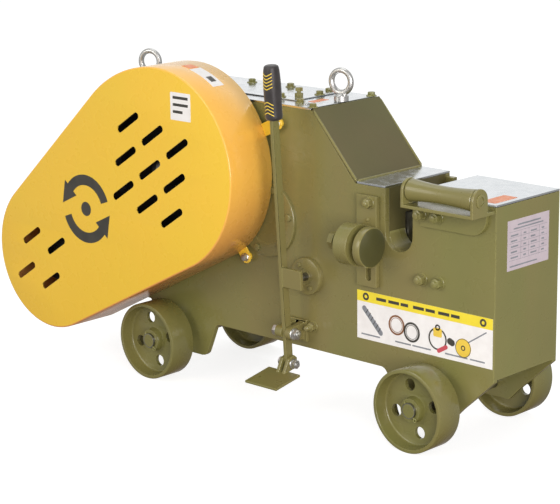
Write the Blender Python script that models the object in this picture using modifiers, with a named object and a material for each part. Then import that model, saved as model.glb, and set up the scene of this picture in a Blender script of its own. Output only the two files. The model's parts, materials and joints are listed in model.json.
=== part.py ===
"""Rebar cutter: a wheeled steel housing with a motor, a belt drive, two gear stages, a crank and a
sliding blade.

Every place is given in the machine frame, in metres: x runs left (negative) from the right end face,
y runs back from the front side plate's outer face, z is height above the floor.  ORIGIN moves that
frame so that the finished machine stands centred on the world origin.
"""
import math

import bmesh
import bpy
from mathutils import Euler, Matrix, Vector

ORIGIN = Vector((0.624, -0.090, 0.0))
GAP = 0.0003            # air left between pieces that touch

# ---- Housing -------------------------------------------------------------------------------------
LEFT = -0.998           # left end of the side plates
DEPTH = 0.193           # outer face of the front plate to outer face of the rear plate
SIDE = 0.012            # side plate thickness
COVER = 0.004           # sheet covers on the table and on the top
TABLE_Z = 0.476         # top of the table covers
TOP_Z = 0.603           # top of the high left part
SLOPE_FOOT_X = -0.328
SLOPE_TOP_X = -0.437
SLOPE_SHEET = 0.006
BELLY_Z = 0.124         # lower edge of the side plates between the legs
FLOOR_PLATE_Z = (0.147, 0.157)
LEG_Z = 0.050
INSIDE = (SIDE + GAP, DEPTH - SIDE - GAP)
MIDDLE_Y = DEPTH / 2
LEFT_EYE, RIGHT_EYE = (-0.978, 0.082), (-0.452, MIDDLE_Y)
EYE_HOLE_R = 0.0065
BREATHER = (-0.532, 0.062)
COVER_OVERHANG = 0.0005 # how far the top cover reaches past the left end
SLOPE_CLEARANCE = 0.0023

# ---- Cutting slot --------------------------------------------------------------------------------
SLOT_LEFT, SLOT_RIGHT = -0.258, -0.192
SLOT_BOTTOM = 0.355
REAR_STEP_X, REAR_STEP_Z = -0.240, 0.466
SEAT_RIGHT, SEAT_BOTTOM = -0.100, 0.290
FIXED_BLADE_X = (-0.206, -0.168)
MOVING_BLADE_X = (-0.2865, -0.2465)
GUIDE_X = (-0.328, SLOT_LEFT - 0.0123)
RAM_Z = (0.352, 0.416)
RAM_Y = (0.0615, 0.1315)
STROKE = 0.044          # full travel of the ram
GUIDE_DEEP, RAM_SLACK = 0.018, 0.0005
BLADE_EDGE = 0.0012
BLADE_HEIGHT = (0.354, 0.414)
MOVING_BLADE_Y = (0.0965, 0.1185)
FIXED_BLADE_Y = (0.0740, 0.0960)

# ---- Running gear --------------------------------------------------------------------------------
AXLE_X = (-0.841, -0.141)
AXLE_Z = 0.080
AXLE_R = 0.015
WHEEL_R = 0.080
WHEEL_WIDTH = 0.060
WHEEL_GAP = 0.018

# ---- Drive train: x and z of each shaft ----------------------------------------------------------
MOTOR = (-1.088, 0.236)
INPUT = (-0.745, 0.462)
CRANK = (-0.562, 0.370)
CRANK_THROW = STROKE / 2
STAGE_1_MODULE, PINION_1, GEAR_1 = 0.004, 14, 52
STAGE_2_MODULE, PINION_2, GEAR_2 = 0.005, 13, 52
PRESSURE = math.radians(20.0)
ADDENDUM, DEDENDUM = 0.8, 1.05
BACKLASH = 0.0005
FLYWHEEL_R = 0.176
MOTOR_PULLEY_R = 0.060
BELT_Y = (-0.088, -0.066)   # middle of each V-belt
WRIST = (-0.400, 0.384)

# ---- Belt guard ----------------------------------------------------------------------------------
GUARD_BIG_R, GUARD_SMALL_R = 0.205, 0.160
GUARD_FACE_Y, GUARD_BACK_Y = -0.124, -0.008
GUARD_SHEET = 0.002
GUARD_LIP = 0.006       # how far the lip round the guard's back reaches in

# ---- Clutch lever --------------------------------------------------------------------------------
LEVER = (-0.477, -0.038, 0.160)     # pivot
LEAN = math.radians(3.9)
BAR_HALF, BAR_DEEP = 0.004, 0.009
PEDAL_BOLT = (-0.0337, 0.0971)
CLUTCH_ROD = (-0.452, 0.272)
CLUTCH_ROD_R = 0.008

# ---- Bar stop and feed roller --------------------------------------------------------------------
STOP_Y, STOP_Z = -0.045, 0.367
ROLLER_Y, ROLLER_Z = -0.046, 0.491


def linear(hex_colour):
    """Turn an sRGB hex colour into the linear values that a shader takes."""
    values = [int(hex_colour[i:i + 2], 16) / 255 for i in (1, 3, 5)]
    return [v / 12.92 if v <= 0.04045 else ((v + 0.055) / 1.055) ** 2.4 for v in values] + [1.0]


def material(name, colour, roughness, metallic=0.0):
    mat = bpy.data.materials.new(name)
    mat.use_nodes = True
    shader = mat.node_tree.nodes["Principled BSDF"]
    shader.inputs["Base Color"].default_value = linear(colour)
    shader.inputs["Roughness"].default_value = roughness
    shader.inputs["Metallic"].default_value = metallic
    mat.diffuse_color = linear(colour)
    return mat


for old in list(bpy.data.objects):
    bpy.data.objects.remove(old, do_unlink=True)
PARTS = bpy.data.collections.new("rebar_cutter")
CUTTERS = bpy.data.collections.new("cutters")
for group in (PARTS, CUTTERS):
    bpy.context.scene.collection.children.link(group)

OLIVE = ("#7d7949", 0.35, 0.0)
GALVANISED = ("#b4b9bd", 0.3, 1.0)
YELLOW = ("#f2c641", 0.35, 0.0)
STEEL = ("#8c8c8a", 0.4, 1.0)
TOOL_STEEL = ("#6d7076", 0.3, 1.0)
CAST_IRON = ("#55565a", 0.6, 0.6)
ZINC = ("#b9b8b2", 0.35, 1.0)
GREY_PAINT = ("#5f6669", 0.45, 0.0)
BLACK_RUBBER = ("#2b2929", 0.7, 0.0)


# ---- Placing -------------------------------------------------------------------------------------
def add(name, data, finish, place=(0, 0, 0), turn=(0, 0, 0)):
    """Make one named piece from mesh or curve data, with a material of its own."""
    obj = bpy.data.objects.new(name, data)
    obj.location = ORIGIN + Vector(place)
    obj.rotation_euler = turn
    if finish is None:
        CUTTERS.objects.link(obj)
        obj.hide_render = True
        obj.display_type = "WIRE"
    else:
        data.materials.append(material(name, *finish))
        PARTS.objects.link(obj)
    return obj


def boolean(target, tool, operation="DIFFERENCE"):
    """Cut the tool out of the target, or join it on, with a live Boolean modifier."""
    step = target.modifiers.new(tool.name, "BOOLEAN")
    step.operation = operation
    step.solver = "EXACT"
    step.object = tool
    return target


def move_origin(obj, place):
    """Put an unturned object's origin at a point of the machine frame, such as its joint's axis."""
    shift = ORIGIN + Vector(place) - obj.location
    obj.data.transform(Matrix.Translation(-shift))
    obj.location = ORIGIN + Vector(place)
    return obj


AXIS_TURN = {"X": (0, math.pi / 2, 0), "Y": (-math.pi / 2, 0, 0), "Z": (0, 0, 0)}


# ---- Shapes --------------------------------------------------------------------------------------
def box(name, finish, x, y, z, bevel=0.0):
    """A block between two values on each axis, with its edges rounded where bevel is given."""
    mesh = bpy.data.meshes.new(name)
    bm = bmesh.new()
    bmesh.ops.create_cube(bm, size=1.0)
    bmesh.ops.scale(bm, vec=(x[1] - x[0], y[1] - y[0], z[1] - z[0]), verts=bm.verts)
    bm.to_mesh(mesh)
    bm.free()
    obj = add(name, mesh, finish, (sum(x) / 2, sum(y) / 2, sum(z) / 2))
    if bevel:
        rounding = obj.modifiers.new("edges", "BEVEL")
        rounding.width = bevel
        rounding.segments = 2
        rounding.limit_method = "ANGLE"
    return obj


def cylinder(name, finish, place, radius, length, axis, segments=24):
    """A round bar with its middle at the given place."""
    mesh = bpy.data.meshes.new(name)
    bm = bmesh.new()
    bmesh.ops.create_cone(bm, cap_ends=True, cap_tris=False, segments=segments,
                          radius1=radius, radius2=radius, depth=length)
    bm.to_mesh(mesh)
    bm.free()
    mesh.shade_smooth()
    mesh.set_sharp_from_angle(angle=math.radians(40))
    return add(name, mesh, finish, place, AXIS_TURN[axis])


def turned(name, finish, place, axis, profile, steps=32):
    """A turned piece.  The profile's points are (radius, distance along the axis)."""
    mesh = bpy.data.meshes.new(name)
    points = [(radius, 0.0, along) for radius, along in profile]
    closed = all(radius > 0 for radius, _ in profile)
    edges = [(i, i + 1) for i in range(len(points) - 1)]
    if closed:
        edges.append((len(points) - 1, 0))
    mesh.from_pydata(points, edges, [])
    obj = add(name, mesh, finish, place, AXIS_TURN[axis])
    screw = obj.modifiers.new("turn", "SCREW")
    screw.steps = screw.render_steps = steps
    screw.use_merge_vertices = True
    screw.merge_threshold = 1e-5
    return obj


def arc(cx, cy, radius, start, end, count=8):
    """Points on a circle from one angle to another, in degrees."""
    angles = [math.radians(start + (end - start) * i / count) for i in range(count + 1)]
    return [(cx + radius * math.cos(a), cy + radius * math.sin(a)) for a in angles]


def circle(cx, cy, radius, count=20):
    return arc(cx, cy, radius, 0, 360 * (count - 1) / count, count - 1)


def flat(name, finish, outline, depth, plane="XZ", holes=()):
    """A flat piece: an outline and its holes in XZ, YZ or XY, as thick as depth's two values.

    Depth runs along the axis that the plane leaves out.  The piece is made a mesh, so that it can
    be cut.
    """
    curve = bpy.data.curves.new(name, "CURVE")
    curve.dimensions = "2D"
    curve.fill_mode = "BOTH"
    curve.extrude = (depth[1] - depth[0]) / 2
    for loop in (outline, *holes):
        spline = curve.splines.new("POLY")
        spline.points.add(len(loop) - 1)
        spline.points.foreach_set("co", [value for u, v in loop for value in (u, v, 0.0, 1.0)])
        spline.use_cyclic_u = True
    middle = (depth[0] + depth[1]) / 2
    place, turn = {
        "XZ": ((0, middle, 0), (math.pi / 2, 0, 0)),
        "YZ": ((middle, 0, 0), (math.pi / 2, 0, math.pi / 2)),
        "XY": ((0, 0, middle), (0, 0, 0)),
    }[plane]
    guide = bpy.data.objects.new(name + "_outline", curve)
    CUTTERS.objects.link(guide)
    bpy.context.view_layer.update()
    evaluated = guide.evaluated_get(bpy.context.evaluated_depsgraph_get())
    mesh = bpy.data.meshes.new_from_object(evaluated)
    bpy.data.objects.remove(guide, do_unlink=True)
    mesh.transform(Matrix.LocRotScale(Vector(place), Euler(turn), None))
    bm = bmesh.new()
    bm.from_mesh(mesh)
    bmesh.ops.remove_doubles(bm, verts=bm.verts, dist=1e-6)
    bm.to_mesh(mesh)
    bm.free()
    mesh.materials.clear()
    return add(name, mesh, finish)


def stadium(x0, z0, x1, z1, radius, count=6):
    """The outline of a slot with round ends, between two centres."""
    heading = math.degrees(math.atan2(z1 - z0, x1 - x0))
    return arc(x1, z1, radius, heading - 90, heading + 90, count) \
        + arc(x0, z0, radius, heading + 90, heading + 270, count)


def around_two(x0, z0, r0, x1, z1, r1, count=24):
    """The tight outline around a big circle and a small one to its left, as a belt runs."""
    heading = math.degrees(math.atan2(z1 - z0, x1 - x0))
    lean = math.degrees(math.acos((r0 - r1) / math.hypot(x1 - x0, z1 - z0)))
    small = arc(x1, z1, r1, heading - lean, heading + lean, count // 2)
    return small + arc(x0, z0, r0, heading + lean, heading + 360 - lean, count)


def gear_outline(place, module, teeth, phase):
    """An involute gear with one tooth centred on the phase angle, in radians."""
    pitch = module * teeth / 2
    base = pitch * math.cos(PRESSURE)
    tip, root = pitch + ADDENDUM * module, pitch - DEDENDUM * module
    half = math.pi / (2 * teeth) - BACKLASH / (2 * pitch) + math.tan(PRESSURE) - PRESSURE
    start = max(base, root)
    flank = []
    for i in range(3):
        radius = start + (tip - start) * i / 2
        roll = math.acos(min(1.0, base / radius))
        flank.append((radius, half - math.tan(roll) + roll))
    tooth = [(root, half)] + flank if root < base - 1e-5 else flank
    points = []
    for k in range(teeth):
        middle = phase + 2 * math.pi * k / teeth
        for radius, angle in [(r, -a) for r, a in tooth] + [(r, a) for r, a in reversed(tooth)]:
            points.append((place[0] + radius * math.cos(middle + angle),
                           place[1] + radius * math.sin(middle + angle)))
    return points


def mesh_phase(place_a, pitch_a, phase_a, place_b, pitch_b, module):
    """The phase that puts a gap of gear b on the tooth of gear a that faces it."""
    heading = math.atan2(place_b[1] - place_a[1], place_b[0] - place_a[0])
    along = (phase_a - heading) * pitch_a + math.pi * module / 2
    return heading + math.pi - along / pitch_b


def third_corner(a, b, from_a, from_b):
    """The point below the line from a to b, at the given distances from both."""
    span = math.hypot(b[0] - a[0], b[1] - a[1])
    ux, uz = (b[0] - a[0]) / span, (b[1] - a[1]) / span
    along = (from_a ** 2 - from_b ** 2 + span ** 2) / (2 * span)
    aside = math.sqrt(from_a ** 2 - along ** 2)
    return (a[0] + ux * along - uz * aside, a[1] + uz * along + ux * aside)


PITCH_P1, PITCH_G1 = STAGE_1_MODULE * PINION_1 / 2, STAGE_1_MODULE * GEAR_1 / 2
PITCH_P2, PITCH_G2 = STAGE_2_MODULE * PINION_2 / 2, STAGE_2_MODULE * GEAR_2 / 2
MIDDLE = third_corner(CRANK, INPUT, PITCH_P2 + PITCH_G2, PITCH_P1 + PITCH_G1)


# ---- Housing -------------------------------------------------------------------------------------
def side_outline(slot_left, step):
    """A side plate's outline: sloped shoulder, open slot, two legs with slanted edges."""
    run, rise = SLOPE_TOP_X - SLOPE_FOOT_X, TOP_Z - TABLE_Z
    slant = math.hypot(run, rise)
    inset = SLOPE_SHEET + GAP
    foot_x = SLOPE_FOOT_X - inset * rise / slant
    foot_z = TABLE_Z - inset * -run / slant
    table, top = TABLE_Z - COVER - GAP, TOP_Z - COVER - GAP
    at_table = foot_x + (table - foot_z) * run / rise
    at_top = foot_x + (top - foot_z) * run / rise
    radius = (SLOT_RIGHT - slot_left) / 2
    slot = arc(slot_left + radius, SLOT_BOTTOM + radius, radius, 0, -180, 12)
    right_leg = [(0.0, 0.145), (-0.074, 0.077), (-0.100, LEG_Z)]
    right_leg += arc(-0.200, LEG_Z + 0.018, 0.018, 270, 214, 3)
    right_leg += arc(-0.268, BELLY_Z - 0.016, 0.016, 34, 90, 4)
    left_leg = arc(-0.702, BELLY_Z - 0.016, 0.016, 90, 165, 4)
    left_leg += arc(-0.755, LEG_Z + 0.018, 0.018, 345, 270, 3)
    left_leg += [(-0.878, LEG_Z), (-0.885, 0.080), (-0.894, 0.127), (-0.908, 0.145), (LEFT, 0.145)]
    return [(0.0, table), (SLOT_RIGHT, table)] + slot + step + [
        (SLOT_LEFT, table), (at_table, table), (at_top, top), (LEFT, top)] \
        + left_leg[::-1] + right_leg[::-1]


SHAFT_HOLES = [circle(*CRANK, 0.0320, 24), circle(*INPUT, 0.0260), circle(*MIDDLE, 0.0240)]
AXLE_HOLES = [circle(x, AXLE_Z, AXLE_R + GAP, 16) for x in AXLE_X]
BOLT_R = 0.0060


def housing():
    front_holes = [circle(*CLUTCH_ROD, 0.0120, 16)]
    flat("front_side_plate", OLIVE, side_outline(SLOT_LEFT, []), (0.0, SIDE),
         holes=SHAFT_HOLES + AXLE_HOLES + front_holes)
    step = [(REAR_STEP_X, REAR_STEP_Z), (SLOT_LEFT, REAR_STEP_Z)]
    flat("rear_side_plate", OLIVE, side_outline(REAR_STEP_X, step), (DEPTH - SIDE, DEPTH),
         holes=SHAFT_HOLES + AXLE_HOLES)
    floor_top = FLOOR_PLATE_Z[1] + GAP
    box("right_end_plate", OLIVE, (-SIDE, 0.0), INSIDE, (floor_top, TABLE_Z - COVER - GAP))
    box("left_end_plate", OLIVE, (LEFT, LEFT + SIDE), INSIDE, (floor_top, TOP_Z - COVER - GAP))
    box("bottom_plate", OLIVE, (LEFT + 0.006, -0.006), INSIDE, FLOOR_PLATE_Z)

    run, rise = SLOPE_TOP_X - SLOPE_FOOT_X, TOP_Z - TABLE_Z
    slant = math.hypot(run, rise)
    inward = (-rise / slant * SLOPE_SHEET, run / slant * SLOPE_SHEET)
    foot, top = (SLOPE_FOOT_X, TABLE_Z), (SLOPE_TOP_X, TOP_Z)
    flat("slope_plate", OLIVE, [foot, top, (top[0] + inward[0], top[1] + inward[1]),
                                (foot[0] + inward[0], foot[1] + inward[1])], (0.0, DEPTH))
    cover_start, cover_end = LEFT - COVER_OVERHANG, SLOPE_TOP_X + inward[0] - SLOPE_CLEARANCE
    flat("top_cover", GALVANISED, [
        (cover_start, 0.0), (cover_end, 0.0), (cover_end, DEPTH), (cover_start, DEPTH)],
        (TOP_Z - COVER, TOP_Z), "XY", [circle(*RIGHT_EYE, EYE_HOLE_R, 12),
                                       circle(*LEFT_EYE, EYE_HOLE_R, 12)])
    box("table_cover_left", GALVANISED, (SLOPE_FOOT_X + GAP, SLOT_LEFT), (0.0, DEPTH),
        (TABLE_Z - COVER, TABLE_Z))
    box("table_cover_right", GALVANISED, (SLOT_RIGHT, 0.0), (0.0, DEPTH),
        (TABLE_Z - COVER, TABLE_Z))
    box("hatch_cover", GALVANISED, (-0.940, -0.521), (0.040, 0.160),
        (TOP_Z + GAP, TOP_Z + 0.0023))
    turned("breather_plug", ZINC, (*BREATHER, TOP_Z + 0.0026), "Z", [
        (0.0, 0.0210), (0.0075, 0.0210), (0.0080, 0.0200), (0.0080, 0.0145), (0.0040, 0.0140),
        (0.0040, 0.0115), (0.0085, 0.0110), (0.0085, 0.0), (0.0, 0.0)], 6)


def slot_lining():
    """The wall that the ram comes through, the blade seat and the ram's guides."""
    wall = box("slot_wall", CAST_IRON, (SLOT_LEFT - SIDE, SLOT_LEFT - GAP), INSIDE,
               (SEAT_BOTTOM, TABLE_Z - COVER - GAP))
    window = box("ram_window", None, (SLOT_LEFT - 0.030, SLOT_LEFT + 0.010),
                 (RAM_Y[0] - 0.001, RAM_Y[1] + 0.001), (RAM_Z[0] - 0.001, RAM_Z[1] + 0.001))
    boolean(wall, window)
    middle_x = (SLOT_LEFT + SLOT_RIGHT) / 2
    radius = (SLOT_RIGHT - SLOT_LEFT) / 2
    channel = arc(middle_x, SLOT_BOTTOM + radius, radius, 0, -180, 12)
    top = TABLE_Z - COVER - GAP
    seat_outline = [(SEAT_RIGHT, top), (SLOT_RIGHT, top)] + channel \
        + [(SLOT_LEFT, SEAT_BOTTOM), (SEAT_RIGHT, SEAT_BOTTOM)]
    seat = flat("blade_seat", CAST_IRON, seat_outline, INSIDE)
    boolean(seat, box("ram_run", None, (SLOT_LEFT - 0.010, SLOT_RIGHT),
                      (RAM_Y[0] - 0.0015, RAM_Y[1] + 0.0015), (RAM_Z[0] - 0.002, TABLE_Z)))
    boolean(seat, box("fixed_blade_pocket", None, (SLOT_RIGHT - 0.010, FIXED_BLADE_X[1] + GAP),
                      (FIXED_BLADE_Y[0] - GAP, FIXED_BLADE_Y[1] + GAP),
                      (BLADE_HEIGHT[0] - GAP, BLADE_HEIGHT[1] + GAP)))
    box("fixed_blade", TOOL_STEEL, FIXED_BLADE_X, FIXED_BLADE_Y, BLADE_HEIGHT, BLADE_EDGE)
    box("ram_guide_bottom", STEEL, GUIDE_X, INSIDE, (RAM_Z[0] - GUIDE_DEEP, RAM_Z[0] - RAM_SLACK))
    box("ram_guide_top", STEEL, GUIDE_X, INSIDE, (RAM_Z[1] + RAM_SLACK, RAM_Z[1] + GUIDE_DEEP))


def eye_bolt(name, x, y, collar, turn):
    """A lifting eye: a ring on a collar, turned as it was tightened, its shank through the cover."""
    ring_r, rod_r = 0.022, 0.006
    stem = turned(name, ZINC, (x, y, TOP_Z), "Z", [
        (0.0, collar + 0.006), (0.008, collar + 0.004), (0.0145, collar), (0.0145, GAP),
        (0.006, GAP), (0.006, -0.022), (0.0, -0.022)], 16)
    bpy.ops.mesh.primitive_torus_add(major_segments=22, minor_segments=8, major_radius=ring_r,
                                     minor_radius=rod_r)
    ring = bpy.context.object
    for owner in ring.users_collection:
        owner.objects.unlink(ring)
    CUTTERS.objects.link(ring)
    ring.name = name + "_ring"
    ring.rotation_euler = (math.pi / 2, 0, math.radians(turn))
    ring.location = ORIGIN + Vector((x, y, TOP_Z + collar + ring_r + 0.004))
    ring.hide_render = True
    ring.display_type = "WIRE"
    boolean(stem, ring, "UNION")


# ---- Running gear --------------------------------------------------------------------------------
def wheel(name, x, y, outwards):
    """A cast wheel: rim, recessed disc with four holes, hub.  Outwards is -1 at the front."""
    half = WHEEL_WIDTH / 2
    bore = AXLE_R + GAP
    profile = [(WHEEL_R - 0.002, half), (WHEEL_R, half - 0.002), (WHEEL_R, -half + 0.002),
               (WHEEL_R - 0.002, -half), (0.073, -half), (0.070, -0.004), (0.023, -0.004),
               (0.022, -half + 0.008), (bore, -half + 0.008), (bore, half - 0.014),
               (0.022, half - 0.014), (0.023, 0.004), (0.070, 0.004), (0.073, half)]
    piece = turned(name, CAST_IRON, (x, y, AXLE_Z), "Y", profile, 20)
    piece.rotation_euler = (math.pi / 2, 0, 0) if outwards < 0 else AXIS_TURN["Y"]
    for k in range(4):
        angle = math.radians(105 + 90 * k)
        boolean(piece, cylinder(f"{name}_hole_{k}", None, (x + 0.046 * math.cos(angle), y,
                                AXLE_Z + 0.046 * math.sin(angle)), 0.0118, 0.030, "Y", 8))
    return piece


def running_gear():
    front_y = -WHEEL_GAP - WHEEL_WIDTH / 2
    rear_y = DEPTH + WHEEL_GAP + WHEEL_WIDTH / 2
    for side, x in zip(("left", "right"), AXLE_X):
        wheel(f"wheel_front_{side}", x, front_y, -1)
        wheel(f"wheel_rear_{side}", x, rear_y, 1)
        ends = (front_y - WHEEL_WIDTH / 2 + 0.0065, rear_y + WHEEL_WIDTH / 2 - 0.0065)
        cylinder(f"axle_{side}", STEEL, (x, sum(ends) / 2, AXLE_Z), AXLE_R, ends[1] - ends[0], "Y")


# ---- Motor and belt drive ------------------------------------------------------------------------
MOTOR_Y = (0.016, 0.240)
FAN_Y = (0.2403, 0.304)
MOTOR_R = 0.080


def motor():
    x, z = MOTOR
    start, end = MOTOR_Y
    housing_piece = turned("motor_housing", GREY_PAINT, (x, 0.0, z), "Y", [
        (0.050, end), (MOTOR_R - 0.004, end), (MOTOR_R, end - 0.010), (MOTOR_R, start + 0.012),
        (MOTOR_R - 0.004, start), (0.036, start), (0.030, start - 0.006), (0.0125, start - 0.006),
        (0.0125, start + 0.016), (0.046, start + 0.022), (0.046, end - 0.022),
        (0.0125, end - 0.016), (0.0125, end - 0.002)], 20)
    foot = box("motor_foot", None, (LEFT - 0.030, LEFT - GAP), (0.050, 0.190),
               (z - 0.068, z + 0.068))
    boolean(housing_piece, foot, "UNION")
    turned("motor_fan_cover", GREY_PAINT, (x, 0.0, z), "Y", [
        (0.0, FAN_Y[1]), (0.060, FAN_Y[1]), (0.076, FAN_Y[1] - 0.014), (0.076, FAN_Y[0]),
        (0.074, FAN_Y[0]), (0.074, FAN_Y[1] - 0.015), (0.059, FAN_Y[1] - 0.002),
        (0.0, FAN_Y[1] - 0.002)], 28)
    lid = box("terminal_box", GREY_PAINT, (x - MOTOR_R - 0.042, x - MOTOR_R - 0.0025),
              (0.080, 0.175), (z - 0.045, z + 0.045), 0.003)
    gland = cylinder("gland_body", None, (x - MOTOR_R - 0.022, 0.1275, z - 0.052), 0.010, 0.030,
                     "Z", 12)
    boolean(lid, gland, "UNION")
    turned("motor_shaft", STEEL, (x, 0.0, z), "Y", [
        (0.0, 0.262), (0.0115, 0.262), (0.0115, end - 0.024), (0.043, end - 0.030),
        (0.043, start + 0.030), (0.0115, start + 0.024), (0.0115, -0.104), (0.0, -0.104)], 20)


def v_grooves(radius, centres, low, high):
    """The rim of a V-belt pulley from its high end to its low end, with a groove at each centre."""
    points = [(radius, high)]
    for y in sorted(centres, reverse=True):
        points += [(radius, y + 0.0090), (radius - 0.012, y + 0.0070),
                   (radius - 0.012, y - 0.0070), (radius, y - 0.0090)]
    return points + [(radius, low)]


def belt_drive():
    low, high = -0.102, -0.052
    rim = v_grooves(FLYWHEEL_R, BELT_Y, low, high)
    turned("flywheel_pulley", CAST_IRON, (INPUT[0], 0.0, INPUT[1]), "Y", rim + [
        (0.150, low), (0.148, -0.086), (0.036, -0.086), (0.034, -0.106), (0.0204, -0.106),
        (0.0204, -0.030), (0.036, -0.030), (0.040, -0.070), (0.146, -0.070), (0.148, high)], 28)
    small = v_grooves(MOTOR_PULLEY_R, BELT_Y, low, high)
    turned("motor_pulley", CAST_IRON, (MOTOR[0], 0.0, MOTOR[1]), "Y", small + [
        (0.0118, low), (0.0118, high)], 20)
    for i, y in enumerate(BELT_Y):
        outer = around_two(*INPUT, FLYWHEEL_R + 0.0005, *MOTOR, MOTOR_PULLEY_R + 0.0005, 28)
        inner = around_two(*INPUT, FLYWHEEL_R - 0.0085, *MOTOR, MOTOR_PULLEY_R - 0.0085, 28)
        flat(f"drive_belt_{i + 1}", BLACK_RUBBER, outer, (y - 0.0062, y + 0.0062), holes=[inner])


VENT_ROWS = ((-0.8275, 0.5485), (-0.8375, 0.4780), (-0.8470, 0.4070))
VENT_STEP = (0.0700, -0.0185)
LOW_VENTS = ((-1.143, 0.268), (-1.064, 0.257), (-1.165, 0.188), (-1.085, 0.178))
VENT_TILT = math.radians(36.5)
VENT_R, VENT_LENGTH, LOW_VENT_LENGTH = 0.0064, 0.056, 0.050
TAB_HEADINGS = (25, -53)    # degrees round the large arc
TAB_REACH, TAB_R = 0.016, 0.013


def vent(x, z, length):
    dx, dz = math.cos(VENT_TILT) * length / 2, math.sin(VENT_TILT) * length / 2
    return stadium(x - dx, z - dz, x + dx, z + dz, VENT_R, 3)


def cut_left_of(outline, x):
    """The part of a closed outline that lies right of x."""
    kept = []
    for (ax, az), (bx, bz) in zip(outline, outline[1:] + outline[:1]):
        if ax >= x:
            kept.append((ax, az))
        if (ax >= x) != (bx >= x):
            kept.append((x, az + (bz - az) * (x - ax) / (bx - ax)))
    return kept


def belt_guard():
    """A pan of sheet steel around both pulleys, slotted in its face.  Its back has a narrow lip
    against the housing and is closed left of it, but for a hole round the motor's shaft."""
    outline = around_two(*INPUT, GUARD_BIG_R, *MOTOR, GUARD_SMALL_R, 32)
    inside = around_two(*INPUT, GUARD_BIG_R - GUARD_SHEET, *MOTOR, GUARD_SMALL_R - GUARD_SHEET, 32)
    pan = flat("belt_guard", YELLOW, outline, (GUARD_FACE_Y, GUARD_BACK_Y))
    back = GUARD_BACK_Y - GUARD_SHEET
    boolean(pan, flat("guard_hollow", None, inside, (GUARD_FACE_Y + GUARD_SHEET, back)))
    lip = around_two(*INPUT, GUARD_BIG_R - GUARD_LIP, *MOTOR, GUARD_SMALL_R - GUARD_LIP, 32)
    opening = cut_left_of(lip, LEFT - 0.004)
    boolean(pan, flat("guard_opening", None, opening, (back - 0.004, 0.050)))
    boolean(pan, cylinder("guard_shaft_hole", None, (MOTOR[0], back, MOTOR[1]), 0.040, 0.008, "Y"))
    slots = [vent(x + VENT_STEP[0] * k, z + VENT_STEP[1] * k, VENT_LENGTH)
             for x, z in VENT_ROWS for k in range(3)]
    slots += [vent(x, z, LOW_VENT_LENGTH) for x, z in LOW_VENTS]
    boolean(pan, flat("guard_slots", None, slots[0],
                      (GUARD_FACE_Y - 0.010, GUARD_FACE_Y + 0.010), holes=slots[1:]))
    for i, heading in enumerate(TAB_HEADINGS):
        angle = math.radians(heading)
        dx, dz = math.cos(angle), math.sin(angle)
        rim_x, rim_z = INPUT[0] + GUARD_BIG_R * dx, INPUT[1] + GUARD_BIG_R * dz
        tab = flat(f"guard_tab_{i + 1}", None,
                   stadium(rim_x - 0.0010 * dx, rim_z - 0.0010 * dz,
                           rim_x + TAB_REACH * dx, rim_z + TAB_REACH * dz, TAB_R),
                   (GUARD_BACK_Y - 0.004, GUARD_BACK_Y - 0.001))
        boolean(tab, cylinder(f"tab_trim_{i + 1}", None, (INPUT[0], 0.0, INPUT[1]),
                              GUARD_BIG_R - GUARD_SHEET / 2, 0.100, "Y", 96))
        boolean(pan, tab, "UNION")


# ---- Gears, crank and ram ------------------------------------------------------------------------
def gear(name, finish, place, module, teeth, phase, y, bore):
    piece = flat(name, finish, gear_outline(place, module, teeth, phase), y,
                 holes=[circle(*place, bore, 24)] if bore else [])
    return move_origin(piece, (place[0], sum(y) / 2, place[1]))


def gear_train():
    bull_phase = 0.0
    phase_p2 = mesh_phase(CRANK, PITCH_G2, bull_phase, MIDDLE, PITCH_P2, STAGE_2_MODULE)
    phase_g1 = 0.0
    phase_p1 = mesh_phase(MIDDLE, PITCH_G1, phase_g1, INPUT, PITCH_P1, STAGE_1_MODULE)
    bull = gear("bull_gear", STEEL, CRANK, STAGE_2_MODULE, GEAR_2, bull_phase, (0.017, 0.047),
                0.0266)
    for k in range(3):
        boolean(bull, flat(f"dog_recess_{k}", None, dog(k, 0.0010), (0.038, 0.060)))
    gear("intermediate_gear", STEEL, MIDDLE, STAGE_1_MODULE, GEAR_1, phase_g1, (0.143, 0.171),
         0.0183)
    second = gear("intermediate_shaft", STEEL, MIDDLE, STAGE_2_MODULE, PINION_2, phase_p2,
                  (0.015, 0.049), 0)
    boolean(second, cylinder("intermediate_core", None, (MIDDLE[0], MIDDLE_Y, MIDDLE[1]), 0.018,
                             DEPTH + 0.004, "Y", 20), "UNION")
    first = gear("input_shaft", STEEL, INPUT, STAGE_1_MODULE, PINION_1, phase_p1, (0.141, 0.173), 0)
    boolean(first, cylinder("input_core", None, (INPUT[0], 0.0435, INPUT[1]), 0.020, 0.303, "Y", 20),
            "UNION")


def dog(k, ease=0.0):
    """One clutch dog's outline: a ring segment round the crank's axis."""
    start, end = 120 * k + 8, 120 * k + 52
    spread = math.degrees(ease / 0.034)
    return arc(*CRANK, 0.0290 - ease, start - spread, end + spread, 3) \
        + arc(*CRANK, 0.0400 + ease, end + spread, start - spread, 3)


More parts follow.
